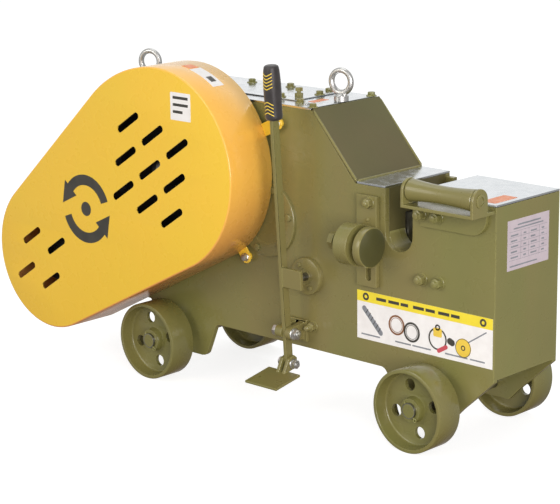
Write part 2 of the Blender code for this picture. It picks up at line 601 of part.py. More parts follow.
def crank_and_ram():
    journal = cylinder("crankshaft", STEEL, (CRANK[0], 0.0985, CRANK[1]), 0.026, 0.193, "Y", 24)
    big = (CRANK[0] - CRANK_THROW, CRANK[1])
    boolean(journal, cylinder("crank_throw", None, (big[0], MIDDLE_Y, big[1]), 0.052, 0.038, "Y",
                              32), "UNION")
    sleeve = turned("dog_sleeve", STEEL, (CRANK[0], 0.0, CRANK[1]), "Y", [
        (0.042, 0.0715), (0.042, 0.0685), (0.036, 0.0685), (0.036, 0.0615), (0.042, 0.0615),
        (0.042, 0.0575), (0.0266, 0.0575), (0.0266, 0.0715)], 22)
    for k in range(3):
        boolean(sleeve, flat(f"dog_{k}", None, dog(k), (0.0495, 0.0600)), "UNION")

    heading = math.atan2(WRIST[1] - big[1], WRIST[0] - big[0])
    rod_y = (0.0780, 0.1150)
    rod = flat("connecting_rod", CAST_IRON, circle(*big, 0.068, 28), rod_y,
               holes=[circle(*big, 0.0525, 28)])
    span = math.hypot(WRIST[0] - big[0], WRIST[1] - big[1])
    shank_from = (big[0] + 0.060 * math.cos(heading), big[1] + 0.060 * math.sin(heading))
    side = (-math.sin(heading), math.cos(heading))
    shank = flat("rod_shank", None, [
        (shank_from[0] + side[0] * 0.026, shank_from[1] + side[1] * 0.026),
        (WRIST[0] + side[0] * 0.020, WRIST[1] + side[1] * 0.020),
        (WRIST[0] - side[0] * 0.020, WRIST[1] - side[1] * 0.020),
        (shank_from[0] - side[0] * 0.026, shank_from[1] - side[1] * 0.026)], (0.0820, 0.1110))
    boolean(rod, shank, "UNION")
    wrist = (WRIST[0], MIDDLE_Y, WRIST[1])
    boolean(rod, cylinder("rod_end", None, wrist, 0.026, rod_y[1] - rod_y[0] - 0.001, "Y", 24),
            "UNION")
    boolean(rod, cylinder("wrist_bore", None, wrist, 0.0143, 0.060, "Y", 20))
    move_origin(rod, (big[0], MIDDLE_Y, big[1]))
    cylinder("wrist_pin", STEEL, wrist, 0.014, 0.0400, "Y", 20)

    ram = box("ram", STEEL, (-0.425, -0.252), RAM_Y, RAM_Z)
    boolean(ram, box("ram_fork", None, (-0.440, -0.328), (0.0755, 0.1175), (0.300, 0.450)))
    boolean(ram, box("blade_notch", None, (MOVING_BLADE_X[0] - GAP, -0.240),
                     (MOVING_BLADE_Y[0] - GAP, MOVING_BLADE_Y[1] + GAP), (0.300, 0.450)))
    boolean(ram, cylinder("ram_bore", None, wrist, 0.0150, 0.090, "Y", 20))
    box("moving_blade", TOOL_STEEL, MOVING_BLADE_X, MOVING_BLADE_Y, BLADE_HEIGHT, BLADE_EDGE)


# ---- Bearings and clutch -------------------------------------------------------------------------
def ring(name, finish, place, y, outer, inner, steps=28):
    """A flat ring or flange round a shaft, with its outer edge broken."""
    edge = 0.0015
    return turned(name, finish, (place[0], 0.0, place[1]), "Y", [
        (outer, y[1]), (outer, y[0] + edge), (outer - edge, y[0]), (inner, y[0]), (inner, y[1])],
        steps)


def bearing_covers():
    turned("crank_cover_front", OLIVE, (CRANK[0], 0.0, CRANK[1]), "Y", [
        (0.0, -GAP), (0.076, -GAP), (0.076, -0.0045), (0.0745, -0.0058), (0.0, -0.0058)], 40)
    turned("crank_cover_rear", OLIVE, (CRANK[0], DEPTH, CRANK[1]), "Y", [
        (0.0, 0.0080), (0.0575, 0.0080), (0.060, 0.0060), (0.060, GAP), (0.027, GAP), (0.027, 0.0025),
        (0.0, 0.0025)], 32)
    ring("input_bearing_housing", CAST_IRON, INPUT, (-0.022, -GAP), 0.050, 0.0204)


def clutch():
    x, z = CLUTCH_ROD
    ring("clutch_flange", OLIVE, CLUTCH_ROD, (-0.012, -GAP), 0.037, CLUTCH_ROD_R + GAP, 28)
    cylinder("clutch_rod", STEEL, (x, 0.0150, z), CLUTCH_ROD_R, 0.1176, "Y", 16)
    heading = math.atan2(CRANK[1] - z, CRANK[0] - x)
    reach = math.hypot(CRANK[0] - x, CRANK[1] - z)
    ahead = (math.cos(heading), math.sin(heading))
    side = (-ahead[1], ahead[0])

    def at(forward, sideways):
        return (x + ahead[0] * forward + side[0] * sideways,
                z + ahead[1] * forward + side[1] * sideways)

    degrees = math.degrees(heading)
    arm = [at(0.0, -0.014), at(reach - 0.055, -0.016), at(reach - 0.030, -0.048),
           at(reach + 0.012, -0.048)]
    inner = arc(*CRANK, 0.0366, degrees - 72, degrees - 288, 14)
    tip = [at(reach + 0.012, 0.048), at(reach - 0.030, 0.048), at(reach - 0.055, 0.016),
           at(0.0, 0.014)]
    end = arc(x, z, 0.014, degrees + 90, degrees + 270, 8)[1:-1]
    fork = flat("clutch_fork", STEEL, arm + inner + tip + end, (0.0625, 0.0675),
                holes=[circle(x, z, CLUTCH_ROD_R + GAP, 16)])
    move_origin(fork, (x, 0.065, z))


def lean_back(obj):
    """Lean a lever piece about the pivot, so that its top comes forward."""
    bpy.context.view_layer.update()
    pivot = ORIGIN + Vector(LEVER)
    turn = Matrix.Translation(pivot) @ Matrix.Rotation(LEAN, 4, "X") @ Matrix.Translation(-pivot)
    obj.matrix_world = turn @ obj.matrix_world
    return obj


def lever():
    x, y, z = LEVER
    half, deep = BAR_HALF, BAR_DEEP
    bar = box("lever_bar", OLIVE, (x - half, x + half), (y - deep, y + deep), (0.084, 0.655))
    plate = box("link_plate", None, (x + half - 0.002, x + 0.052), (y - deep + 0.001, y - 0.0005),
                (0.256, 0.295))
    boolean(bar, plate, "UNION")
    boolean(bar, cylinder("lever_bore", None, LEVER, BOLT_R + GAP, 0.060, "X", 14))
    pedal_bore = (x, y, 0.097)
    boolean(bar, cylinder("pedal_bore", None, pedal_bore, 0.0053, 0.060, "X", 12))
    move_origin(bar, LEVER)
    for tool in ("link_plate", "lever_bore", "pedal_bore"):
        lean_back(bpy.data.objects[tool])
    lean_back(bar)
    grip = turned("lever_grip", BLACK_RUBBER, LEVER, "Z", [(radius, height - z) for radius, height in (
        (0.0, 0.6930), (0.0105, 0.6925), (0.0142, 0.6895), (0.0155, 0.6835), (0.0169, 0.660),
        (0.0170, 0.630), (0.0164, 0.605), (0.0167, 0.594), (0.0147, 0.5875), (0.0, 0.5870))], 20)
    socket = box("grip_socket", None, (x - half - GAP, x + half + GAP), (y - deep - GAP, y + deep + GAP),
                 (0.580, 0.656))
    boolean(grip, socket)
    lean_back(socket)
    lean_back(grip)


def pedal():
    """The foot plate, tipped forward, with two ears clamped on the bar's lower end by a bolt."""
    x, y, z = LEVER
    tilt = math.radians(10.6)
    back_y, back_z, length, thick = -0.0465, 0.0840, 0.070, 0.005
    run, drop = length * math.cos(tilt), length * math.sin(tilt)
    nx, nz = math.sin(tilt) * thick, math.cos(tilt) * thick
    side = [(back_y, back_z), (back_y - run, back_z - drop), (back_y - run + nx, back_z - drop - nz),
            (back_y + nx, back_z - nz)]
    plate = flat("lever_pedal", OLIVE, side, (x - 0.042, x + 0.042), "YZ")
    for i, edges in enumerate(((x - 0.0115, x - BAR_HALF - GAP), (x + BAR_HALF + GAP, x + 0.0115))):
        ear = flat(f"pedal_ear_{i}", None, [(-0.056, 0.080), (-0.022, 0.088), (-0.022, 0.108),
                   (-0.030, 0.114), (-0.046, 0.108), (-0.060, 0.080)], edges, "YZ")
        boolean(plate, ear, "UNION")
    boolean(plate, cylinder("pedal_bolt_hole", None, (x, *PEDAL_BOLT), 0.0053, 0.060, "X", 12))
    move_origin(plate, LEVER)


def hex_pin(name, x0, x1, y, z, radius, head_r, head, nut):
    """A bolt along x with a hexagon head at the left and a nut at the right."""
    return turned(name, ZINC, (0.0, y, z), "X", [
        (0.0, x1), (radius, x1), (radius, x1 - 0.003), (head_r, x1 - 0.003), (head_r, x1 - 0.003 - nut),
        (radius, x1 - 0.003 - nut), (radius, x0 + head), (head_r, x0 + head), (head_r, x0), (0.0, x0)], 12)


def lever_bracket():
    x, y, z = LEVER
    bracket = box("lever_bracket", OLIVE, (x - 0.024, x + 0.024), (-0.008, -GAP), (z - 0.022, z + 0.022))
    for i, edges in enumerate(((x - 0.022, x - BAR_HALF - 0.0006), (x + BAR_HALF + 0.0006, x + 0.018))):
        ear = flat(f"bracket_ear_{i}", None, [(-0.004, z - 0.018), (-0.004, z + 0.018)]
                   + arc(y, z, 0.013, 90, 270, 10), edges, "YZ")
        boolean(bracket, ear, "UNION")
    boolean(bracket, cylinder("pivot_hole", None, LEVER, BOLT_R + GAP, 0.080, "X", 14))
    hex_pin("lever_pivot_bolt", x - 0.032, x + 0.032, y, z, BOLT_R, 0.0110, 0.0095, 0.0105)


# ---- Bar stop and feed roller --------------------------------------------------------------------
def bar_stop():
    plate = flat("stop_bracket", OLIVE,
                 [(-0.320, 0.279), (-0.271, 0.279), (-0.271, 0.455), (-0.320, 0.455)],
                 (-0.0105, -GAP), holes=[stadium(-0.291, 0.297, -0.291, 0.318, 0.0065),
                                         circle(-0.289, 0.442, BOLT_R + GAP, 12)])
    boolean(plate, cylinder("stop_boss", None, (-0.299, STOP_Y, STOP_Z), 0.040, 0.032, "X", 32),
            "UNION")
    boolean(plate, box("stop_web", None, (-0.312, -0.286), (-0.030, -0.006),
                       (STOP_Z - 0.030, STOP_Z + 0.030)), "UNION")
    boolean(plate, cylinder("stop_thread", None, (-0.299, STOP_Y, STOP_Z), 0.0124, 0.080, "X", 20))
    turned("stop_pad", OLIVE, (0.0, STOP_Y, STOP_Z), "X", [
        (0.0, -0.2510), (0.0370, -0.2510), (0.0385, -0.2525), (0.0385, -0.2665), (0.0370, -0.2680),
        (0.0, -0.2680)], 32)
    turned("stop_screw", STEEL, (0.0, STOP_Y, STOP_Z), "X", [
        (0.0, -0.2683), (0.0120, -0.2683), (0.0120, -0.3380), (0.0175, -0.3380), (0.0175, -0.3510),
        (0.0150, -0.3530), (0.0, -0.3530)], 18)


def feed_roller():
    y, z = ROLLER_Y, ROLLER_Z
    shelf_z = (0.4605, 0.4665)
    plate_outline = [(-0.167, 0.4150)] + arc(-0.050, 0.4500, 0.0350, 270, 350, 6) + [
        (-0.015, shelf_z[1]), (-0.167, shelf_z[1])]
    bracket = flat("roller_bracket", OLIVE, plate_outline, (-0.0083, -GAP))
    boolean(bracket, box("roller_shelf", None, (-0.165, 0.0), (-0.068, -0.004), shelf_z), "UNION")
    for i, edges in enumerate(((-0.165, -0.159), (-0.006, 0.0))):
        ear = flat(f"roller_ear_{i}", None,
                   [(y + 0.022, shelf_z[0] + 0.001), (y - 0.022, shelf_z[0] + 0.001)]
                   + arc(y, z, 0.022, 180, 0, 12), edges, "YZ")
        boolean(bracket, ear, "UNION")
    boolean(bracket, cylinder("roller_pin_hole", None, (-0.0825, y, z), 0.0083, 0.200, "X", 16))
    body = [(0.0205, -0.0080)]
    body += [(0.0205 - 0.0040 * math.sin(math.pi * i / 6), -0.0120 - 0.1410 * i / 6)
             for i in range(7)]
    body += [(0.0205, -0.1570), (0.0084, -0.1570), (0.0084, -0.0080)]
    turned("feed_roller", OLIVE, (0.0, y, z), "X", body, 20)
    cylinder("roller_pin", STEEL, (-0.0845, y, z), 0.0080, 0.168, "X", 16)


housing()
slot_lining()
eye_bolt("eye_bolt_left", *LEFT_EYE, 0.006, 16)
eye_bolt("eye_bolt_right", *RIGHT_EYE, 0.013, 9)
running_gear()
motor()
belt_drive()
belt_guard()
gear_train()
crank_and_ram()
bearing_covers()
clutch()
lever()
pedal()
lever_bracket()
bar_stop()
feed_roller()
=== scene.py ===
"""Looks of a wheeled rebar cutter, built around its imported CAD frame.

Places are worked out in the machine frame, in metres, and moved by ORIGIN: x runs left (negative)
from the right end face, y runs back from the front side plate's outer face, z is the height above
the floor.
"""
import json
import math

import bmesh
import bpy
import numpy as np
from mathutils import Matrix, Vector
from mathutils.geometry import tessellate_polygon

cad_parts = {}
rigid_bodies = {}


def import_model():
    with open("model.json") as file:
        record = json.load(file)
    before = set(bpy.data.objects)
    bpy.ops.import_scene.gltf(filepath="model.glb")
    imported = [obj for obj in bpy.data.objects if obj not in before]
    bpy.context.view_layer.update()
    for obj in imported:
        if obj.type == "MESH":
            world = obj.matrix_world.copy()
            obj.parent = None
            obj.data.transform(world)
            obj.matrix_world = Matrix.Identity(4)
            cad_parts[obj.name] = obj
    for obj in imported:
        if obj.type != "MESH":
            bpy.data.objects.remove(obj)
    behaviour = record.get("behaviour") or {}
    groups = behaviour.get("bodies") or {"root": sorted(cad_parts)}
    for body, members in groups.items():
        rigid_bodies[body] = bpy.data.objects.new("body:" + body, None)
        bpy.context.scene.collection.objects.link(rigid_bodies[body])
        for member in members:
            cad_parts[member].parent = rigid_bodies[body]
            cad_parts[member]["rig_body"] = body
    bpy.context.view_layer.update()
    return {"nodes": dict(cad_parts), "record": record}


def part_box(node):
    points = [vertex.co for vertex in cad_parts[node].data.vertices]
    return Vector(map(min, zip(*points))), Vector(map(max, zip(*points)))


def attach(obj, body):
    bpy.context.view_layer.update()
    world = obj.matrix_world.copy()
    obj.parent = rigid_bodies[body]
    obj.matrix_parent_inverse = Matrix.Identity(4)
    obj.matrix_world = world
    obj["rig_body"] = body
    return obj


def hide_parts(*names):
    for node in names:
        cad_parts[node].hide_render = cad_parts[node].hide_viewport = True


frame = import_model()

NODES = frame["nodes"]
SLOTS = {part["node"]: part["material_slot"] for part in frame["record"]["subparts"]}
ORIGIN = np.array([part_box("right_end_plate")[1].x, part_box("front_side_plate")[0].y, 0.0])
TAU = 2 * math.pi

# ---- The machine's own sizes, in metres ------------------------------------------------------------
LEFT, DEPTH = -0.998, 0.193
TABLE_Z, TOP_Z = 0.476, 0.603
SLOPE_FOOT, SLOPE_TOP = (-0.328, TABLE_Z), (-0.437, TOP_Z)
AXLE_X, AXLE_Z, AXLE_R = (-0.841, -0.141), 0.080, 0.015
WHEEL_R, WHEEL_WIDTH, WHEEL_GAP = 0.080, 0.060, 0.018
MOTOR, INPUT, CRANK, MIDDLE = (-1.088, 0.236), (-0.745, 0.462), (-0.562, 0.370), (-0.72008, 0.33237)
GUARD_BIG_R, GUARD_SMALL_R = 0.205, 0.160
SHOULDER, SHOULDER_R = (-0.745, 0.383), 0.284
GUARD_FACE_Y, GUARD_BACK_Y, GUARD_SHEET, GUARD_CORNER, GUARD_LIP = -0.124, -0.008, 0.002, 0.0028, 0.006
LEVER, LEAN = (-0.477, -0.038, 0.160), math.radians(3.9)
PEDAL_BOLT, BREATHER = (-0.0337, 0.0971), (-0.532, 0.062)
CLUTCH_ROD = (-0.452, 0.272)
STOP_Y, STOP_Z = -0.045, 0.367
ROLLER_Y, ROLLER_Z = -0.046, 0.491
LEFT_EYE, RIGHT_EYE = (-0.978, 0.082, 0.006, 16), (-0.452, 0.0965, 0.013, 9)


# ---- Materials -------------------------------------------------------------------------------------
def linear(colour):
    """Turn an sRGB hex colour into the linear values that a shader takes."""
    values = [int(colour[i:i + 2], 16) / 255 for i in (1, 3, 5)]
    return [v / 12.92 if v <= 0.04045 else ((v + 0.055) / 1.055) ** 2.4 for v in values] + [1.0]


def put(tree, kind, inputs=(), **settings):
    """Add one shader node with its own settings, each input given a value or the socket that feeds it."""
    made = tree.nodes.new("ShaderNode" + kind)
    for field, value in settings.items():
        setattr(made, field, value)
    for socket, value in dict(inputs).items():
        if isinstance(value, bpy.types.NodeSocket):
            tree.links.new(value, made.inputs[socket])
        else:
            made.inputs[socket].default_value = value
    return made


def begin(name, roughness=0.4, metallic=0.0, **sockets):
    """Start a material: its tree, its shader with the constant sockets set, and Object coordinates."""
    made = bpy.data.materials.new(name)
    made.use_nodes = True
    tree = made.node_tree
    shader = tree.nodes["Principled BSDF"]
    shader.inputs["Roughness"].default_value = roughness
    shader.inputs["Metallic"].default_value = metallic
    for socket, value in sockets.items():
        shader.inputs[socket.replace("_", " ")].default_value = value
    place = put(tree, "TexCoord").outputs["Object"]
    return made, tree, shader, place


def cloud(tree, place, size, low, high, stretch=(1, 1, 1), detail=2.0):
    """A soft noise mask of that feature size in metres, spread between low and high."""
    moved = put(tree, "Mapping", {"Vector": place, "Scale": stretch}).outputs[0]
    noise = put(tree, "TexNoise", {"Vector": moved, "Scale": 1 / size, "Detail": detail})
    return put(tree, "MapRange", {"Value": noise.outputs[0], "From Min": 0.32, "From Max": 0.68,
                                  "To Min": low, "To Max": high}).outputs[0]


def blend(tree, share, first, second):
    """One colour going over to another; each is a hex colour or a colour socket."""
    pair = [linear(c) if isinstance(c, str) else c for c in (first, second)]
    return put(tree, "Mix", {0: share, 6: pair[0], 7: pair[1]}, data_type="RGBA").outputs[2]


def thin_paint_and_highlight_edges(tree, reach, share):
    """A mask that is bright along outside edges, from how far a rounded normal leans off the face."""
    face = put(tree, "NewGeometry").outputs["True Normal"]
    soft = put(tree, "Bevel", {"Radius": reach}, samples=4).outputs[0]
    same = put(tree, "VectorMath", {0: face, 1: soft}, operation="DOT_PRODUCT").outputs["Value"]
    return put(tree, "MapRange", {"Value": same, "From Min": 0.99, "From Max": 0.86,
                                  "To Min": 0.0, "To Max": share}).outputs[0]


def roughen(tree, shader, place, parts, height):
    """Drive the bump from a stack of (size in metres, share) noises; height is in metres."""
    total = None
    for size, share in parts:
        noise = put(tree, "TexNoise", {"Vector": place, "Scale": 1 / size, "Detail": 2.0}).outputs[0]
        scaled = put(tree, "Math", {0: noise, 1: share}, operation="MULTIPLY").outputs[0]
        total = scaled if total is None else \
            put(tree, "Math", {0: total, 1: scaled}, operation="ADD").outputs[0]
    bump = put(tree, "Bump", {"Strength": 1.0, "Distance": height, "Height": total})
    tree.links.new(bump.outputs[0], shader.inputs["Normal"])


def enamel(name, main, thin, edge, roughness, peel, warm=None, coat=0.35, low=None):
    """Sprayed enamel on steel.  Thick wet coats pull into orange peel a few millimetres across, the
    film is thinner and paler on edges, and slow clouds show where passes of the gun overlapped.
    The paler edge colour is partly that thin film and partly painted highlight along the edges."""
    made, tree, shader, place = begin(name, roughness, Coat_Weight=coat, Coat_Roughness=0.10)
    colour = blend(tree, cloud(tree, place, 0.16, 0.0, 1.0, detail=3.0), main, thin)
    if warm:
        bands = cloud(tree, place, 0.22, 0.0, 0.55, stretch=(1.6, 1.6, 0.35))
        colour = blend(tree, bands, colour, warm)
    # Where low is given, the colour goes over to low's colour towards the underside: painted shade.
    if low:
        height = put(tree, "SeparateXYZ", {0: place}).outputs["Z"]
        share = put(tree, "MapRange", {"Value": height, "From Min": low[1], "From Max": low[2],
                                       "To Min": 0.0, "To Max": 0.9}).outputs[0]
        colour = blend(tree, share, colour, low[0])
    # Edges go paler: partly thin paint, partly painted highlight.
    colour = blend(tree, thin_paint_and_highlight_edges(tree, 0.0022, 0.55), colour, edge)
    tree.links.new(colour, shader.inputs["Base Color"])
    tree.links.new(cloud(tree, place, 0.035, roughness - 0.05, roughness + 0.07),
                   shader.inputs["Roughness"])
    roughen(tree, shader, place, [(0.0045, 1.0), (0.06, 5.0)], peel)
    return made


def plated(name, main, dull, roughness, grain, scratch=(1, 1, 1), spangle=0.0, height=0.00002):
    """Bare or zinc-plated steel.  Its colour is in its reflection, broken by fine drawn scratches,
    and on hot-dipped sheet by the crystals, called spangle, about 12 mm across."""
    made, tree, shader, place = begin(name, roughness, 1.0)
    share = cloud(tree, place, grain, 0.0, 1.0, detail=4.0)
    colour = blend(tree, share, main, dull)
    lines = cloud(tree, place, 0.012, roughness - 0.06, roughness + 0.10, stretch=scratch, detail=5.0)
    if spangle:
        cells = put(tree, "TexVoronoi", {"Vector": place, "Scale": 1 / spangle})
        grey = put(tree, "SeparateColor", {0: cells.outputs["Color"]}).outputs[0]
        colour = blend(tree, put(tree, "Math", {0: grey, 1: 0.5}, operation="MULTIPLY").outputs[0],
                       colour, dull)
        lines = put(tree, "Math", {0: grey, 1: 0.08, 2: lines}, operation="MULTIPLY_ADD").outputs[0]
    tree.links.new(colour, shader.inputs["Base Color"])
    tree.links.new(lines, shader.inputs["Roughness"])
    roughen(tree, shader, place, [(0.003, 1.0), (0.05, 6.0)], height)
    return made


def moulded(name, main, dull, roughness, grain, height, sheen=0.0):
    """A moulded or printed polymer, with its mould grain and a faintly uneven tone."""
    made, tree, shader, place = begin(name, roughness, Sheen_Weight=sheen)
    colour = blend(tree, cloud(tree, place, 0.02, 0.0, 1.0), main, dull)
    tree.links.new(colour, shader.inputs["Base Color"])
    tree.links.new(cloud(tree, place, 0.01, roughness - 0.06, roughness + 0.06),
                   shader.inputs["Roughness"])
    roughen(tree, shader, place, [(grain, 1.0)], height)
    return made


# Olive alkyd enamel on hot-rolled plate: glossy, a little uneven, brownish where it lies thin.
OLIVE = enamel("olive_alkyd_enamel", "#7f7e47", "#787843", "#9a985f", 0.29, 0.00006, warm="#85754b",
               coat=0.25)
# The same enamel in deeper tones, picked under this scene's lights for faces that turn right:
# the end plate, the slope and the slot, and the stop pad's face.  The deeper tones are painted shade,
# so under other lights these faces look too dark.
OLIVE_END_PAINTED_SHADE = enamel("olive_enamel_painted_shade_end", "#5c5842", "#57533f", "#827d5a", 0.34, 0.00006, coat=0.2)
OLIVE_SLOPE_PAINTED_SHADE = enamel("olive_enamel_painted_shade_slope", "#625f37", "#5b5833", "#85814f", 0.36, 0.00006,
                     warm="#665a3a", coat=0.1)
OLIVE_FACE_PAINTED_SHADE = enamel("olive_enamel_painted_shade_pad_face", "#4e4d2b", "#484727", "#6f6c42", 0.36, 0.00005,
                    coat=0.1)
# The same enamel over sand-cast iron: the casting's skin shows through as a coarser bump.
OLIVE_CAST = enamel("olive_enamel_on_cast_iron", "#78763f", "#716f3c", "#928f58", 0.28, 0.00018,
                    warm="#7c6f46", coat=0.35)
# Yellow enamel on thin rolled sheet: thicker and smoother than the olive.
YELLOW = enamel("yellow_enamel_on_sheet", "#f3c63b", "#f1c83a", "#f7d86a", 0.28, 0.00004, coat=0.4)
# The guard's wall: the same enamel, lighter and warmer, and browner towards the underside.  The lighter
# tone is painted light and the browning is painted shade, both picked under this scene's lights.
YELLOW_WALL_PAINTED_LIGHT_AND_SHADE = enamel("yellow_enamel_painted_light_and_shade_wall", "#fec555", "#fbbe50", "#fad56e", 0.28, 0.00006,
                     coat=0.4, low=("#e59a5a", 0.46, 0.24))
# Grey motor enamel over an aluminium casting.
MOTOR_GREY = enamel("grey_motor_enamel", "#5f6669", "#585f62", "#7d8487", 0.42, 0.00016, coat=0.1)
# Hot-dip galvanised sheet: bright, with faint crystals.
GALVANISED = plated("galvanised_sheet_steel", "#d9dcde", "#cdd2d5", 0.15, 0.08, spangle=0.012,
                    height=0.000008)
# Bright zinc plate on forged or turned steel.
ZINC = plated("bright_zinc_plate", "#dcdcda", "#c6c6c3", 0.36, 0.015)
# Turned and ground shafts: fine rings round their axis, kept faint.
TURNED = plated("turned_steel", "#a7a6a2", "#8a8985", 0.32, 0.02, scratch=(1, 8, 1))
# Hardened tool steel, ground: dark and sharp in its reflections.
GROUND = plated("ground_tool_steel", "#83868c", "#6b6e74", 0.28, 0.02, scratch=(1, 1, 9))
# Machined edges and cast faces of grey iron, oiled.
IRON = plated("oiled_cast_iron", "#4c4d50", "#3b3c3f", 0.52, 0.012, height=0.00012)
# Moulded rubber of the V-belts and the cable gland.
BLACK_RUBBER = moulded("moulded_black_rubber", "#262525", "#302f2e", 0.62, 0.0016, 0.00012)
# Soft thermoplastic grip: matt black with a fine spark-eroded grain.
GRIP_BLACK = moulded("soft_grip_black", "#2e2b2b", "#363232", 0.46, 0.0012, 0.00006, sheen=0.2)
# The second shot of the grip, in yellow.
GRIP_YELLOW = moulded("soft_grip_yellow", "#efd052", "#e6c448", 0.45, 0.0012, 0.00004)
# Printed vinyl labels: white, lilac-white, yellow, orange and dark print, faintly glossy.
VINYL_WHITE = moulded("white_vinyl", "#f4f3f1", "#eceae8", 0.34, 0.003, 0.00001)
VINYL_LILAC = moulded("data_label_vinyl", "#c9bec4", "#c2b6bd", 0.38, 0.003, 0.00001)
VINYL_YELLOW = moulded("yellow_vinyl", "#f3df3e", "#ecd737", 0.34, 0.003, 0.00001)
VINYL_ORANGE = moulded("orange_vinyl", "#ee8d52", "#e88449", 0.36, 0.003, 0.00001)
PRINT_DARK = moulded("dark_print", "#3b3a35", "#44423c", 0.42, 0.002, 0.00001)
PRINT_GREY = moulded("grey_print", "#8d9197", "#7f8389", 0.42, 0.002, 0.00001)
PRINT_RED = moulded("red_print", "#cc5560", "#c04a56", 0.42, 0.002, 0.00001)
PRINT_RUST = moulded("brown_print", "#8d5f3c", "#7f5535", 0.42, 0.002, 0.00001)

FINISH = {"olive_paint": OLIVE, "olive_cast": OLIVE_CAST, "galvanised_sheet": GALVANISED,
          "yellow_paint": YELLOW, "zinc_plate": ZINC, "cast_iron": IRON, "tool_steel": GROUND,
          "machined_steel": TURNED, "belt_rubber": BLACK_RUBBER, "motor_paint": MOTOR_GREY,
          "grip_rubber": GRIP_BLACK}


# ---- Shapes: each returns its points and its faces --------------------------------------------------
AXES = {"X": ((0, 1, 0), (0, 0, 1), (1, 0, 0)), "-X": ((0, 0, 1), (0, 1, 0), (-1, 0, 0)),
        "Y": ((0, 0, 1), (1, 0, 0), (0, 1, 0)), "-Y": ((1, 0, 0), (0, 0, 1), (0, -1, 0)),
        "Z": ((1, 0, 0), (0, 1, 0), (0, 0, 1)), "-Z": ((0, 1, 0), (1, 0, 0), (0, 0, -1))}
PLANES = {"XZ": (0, 2, 1), "YZ": (1, 2, 0), "XY": (0, 1, 2)}


def grid(points, wrap_rows=False, wrap_columns=True):
    """A grid of points joined in quads, its first and last rows or columns joined where it wraps."""
    points = np.asarray(points, float)
    rows, columns = points.shape[:2]
    index = np.arange(rows * columns).reshape(rows, columns)
    if wrap_rows:
        index = np.vstack([index, index[:1]])
    if wrap_columns:
        index = np.hstack([index, index[:, :1]])
    quads = np.stack([index[:-1, :-1], index[1:, :-1], index[1:, 1:], index[:-1, 1:]], -1)
    return points.reshape(-1, 3), quads.reshape(-1, 4).tolist()


def lathe(profile, place, axis, steps=72):
    """A turned shape: point = place + radius (cos t, sin t) across the axis + distance along it.
    The profile is a row of (radius, distance)."""
    u, v, w = (np.array(a, float) for a in AXES[axis])
    t = np.arange(steps) * TAU / steps
    around = np.cos(t)[:, None] * u + np.sin(t)[:, None] * v
    radius, along = np.array(profile, float).T
    points = radius[:, None, None] * around + (along[:, None] * w)[:, None, :]
    return grid(points + np.array(place, float), wrap_rows=False)


def swept(sections, closed=False):
    """A closed outline carried along a path: one row of points for each place on the path, with
    flat ends unless the path closes."""
    points, faces = grid(sections, wrap_rows=closed)
    if not closed:
        columns = np.shape(sections)[1]
        faces += [list(range(columns))[::-1], list(range(len(points) - columns, len(points)))]
    return points, faces


def tube(path, radius, sides=12, closed=False):
    """A round bar along a path: circles of the given radius, square to the path's direction."""
    path = np.asarray(path, float)
    if closed:
        ahead = np.roll(path, -1, 0) - np.roll(path, 1, 0)
    else:
        ahead = np.gradient(path, axis=0)
    ahead /= np.linalg.norm(ahead, axis=1)[:, None]
    spread = np.ptp(path, axis=0)
    flat = np.eye(3)[int(np.argmin(spread))]
    side = np.cross(ahead, flat)
    side /= np.linalg.norm(side, axis=1)[:, None]
    other = np.cross(ahead, side)
    t = np.arange(sides) * TAU / sides
    radius = np.broadcast_to(radius, len(path))[:, None, None]
    ring = np.cos(t)[None, :, None] * side[:, None] + np.sin(t)[None, :, None] * other[:, None]
    return swept(path[:, None] + radius * ring, closed)


def plate(outline, low, high, plane="XZ", holes=()):
    """A flat piece with holes: both faces cut into triangles, and a wall round each edge."""
    loops = [np.asarray(loop, float) for loop in (outline, *holes)]
    triangles = [list(t) for t in tessellate_polygon([[Vector((*p, 0)) for p in loop]
                                                      for loop in loops])]
    flat = np.vstack(loops)
    count = len(flat)
    points = np.zeros((2 * count, 3))
    i, j, k = PLANES[plane]
    points[:, i], points[:, j] = np.tile(flat[:, 0], 2), np.tile(flat[:, 1], 2)
    points[:count, k], points[count:, k] = low, high
    faces = triangles + [[count + n for n in t[::-1]] for t in triangles]
    start = 0
    for loop in loops:
        ids = np.arange(len(loop)) + start
        after = np.roll(ids, -1)
        faces += np.stack([ids, after, after + count, ids + count], 1).tolist()
        start += len(loop)
    return points, faces


def face_with_holes(outline, holes, height, plane="XZ"):
    """One flat skin with holes, without walls."""
    points, faces = plate(outline, height, height, plane, holes)
    count = len(points) // 2
    return points[:count], [f for f in faces if max(f) < count]


def arc(cx, cy, radius, start, end, count=16):
    """Points on a circle from one angle to another, in degrees."""
    t = np.radians(np.linspace(start, end, count + 1))
    return np.stack([cx + radius * np.cos(t), cy + radius * np.sin(t)], 1)


def circle(cx, cy, radius, count=32):
    return arc(cx, cy, radius, 0, 360, count)[:-1]


def rounded_box(u, v, radius, count=6):
    """A rectangle's outline with round corners."""
    corners = ((u[1], v[0], -90), (u[1], v[1], 0), (u[0], v[1], 90), (u[0], v[0], 180))
    return np.vstack([arc(a + (radius if a == u[0] else -radius), b + (radius if b == v[0] else -radius),
                          radius, start, start + 90, count) for a, b, start in corners])


def stadium(x0, z0, x1, z1, radius, count=8):
    """The outline of a slot with round ends, between two centres."""
    heading = math.degrees(math.atan2(z1 - z0, x1 - x0))
    return np.vstack([arc(x1, z1, radius, heading - 90, heading + 90, count),
                      arc(x0, z0, radius, heading + 90, heading + 270, count)])


def hexagon(t, across):
    """Distance from a hexagon's middle to its edge at each angle."""
    return across / 2 / np.cos((t + math.pi / 6) % (math.pi / 3) - math.pi / 6)


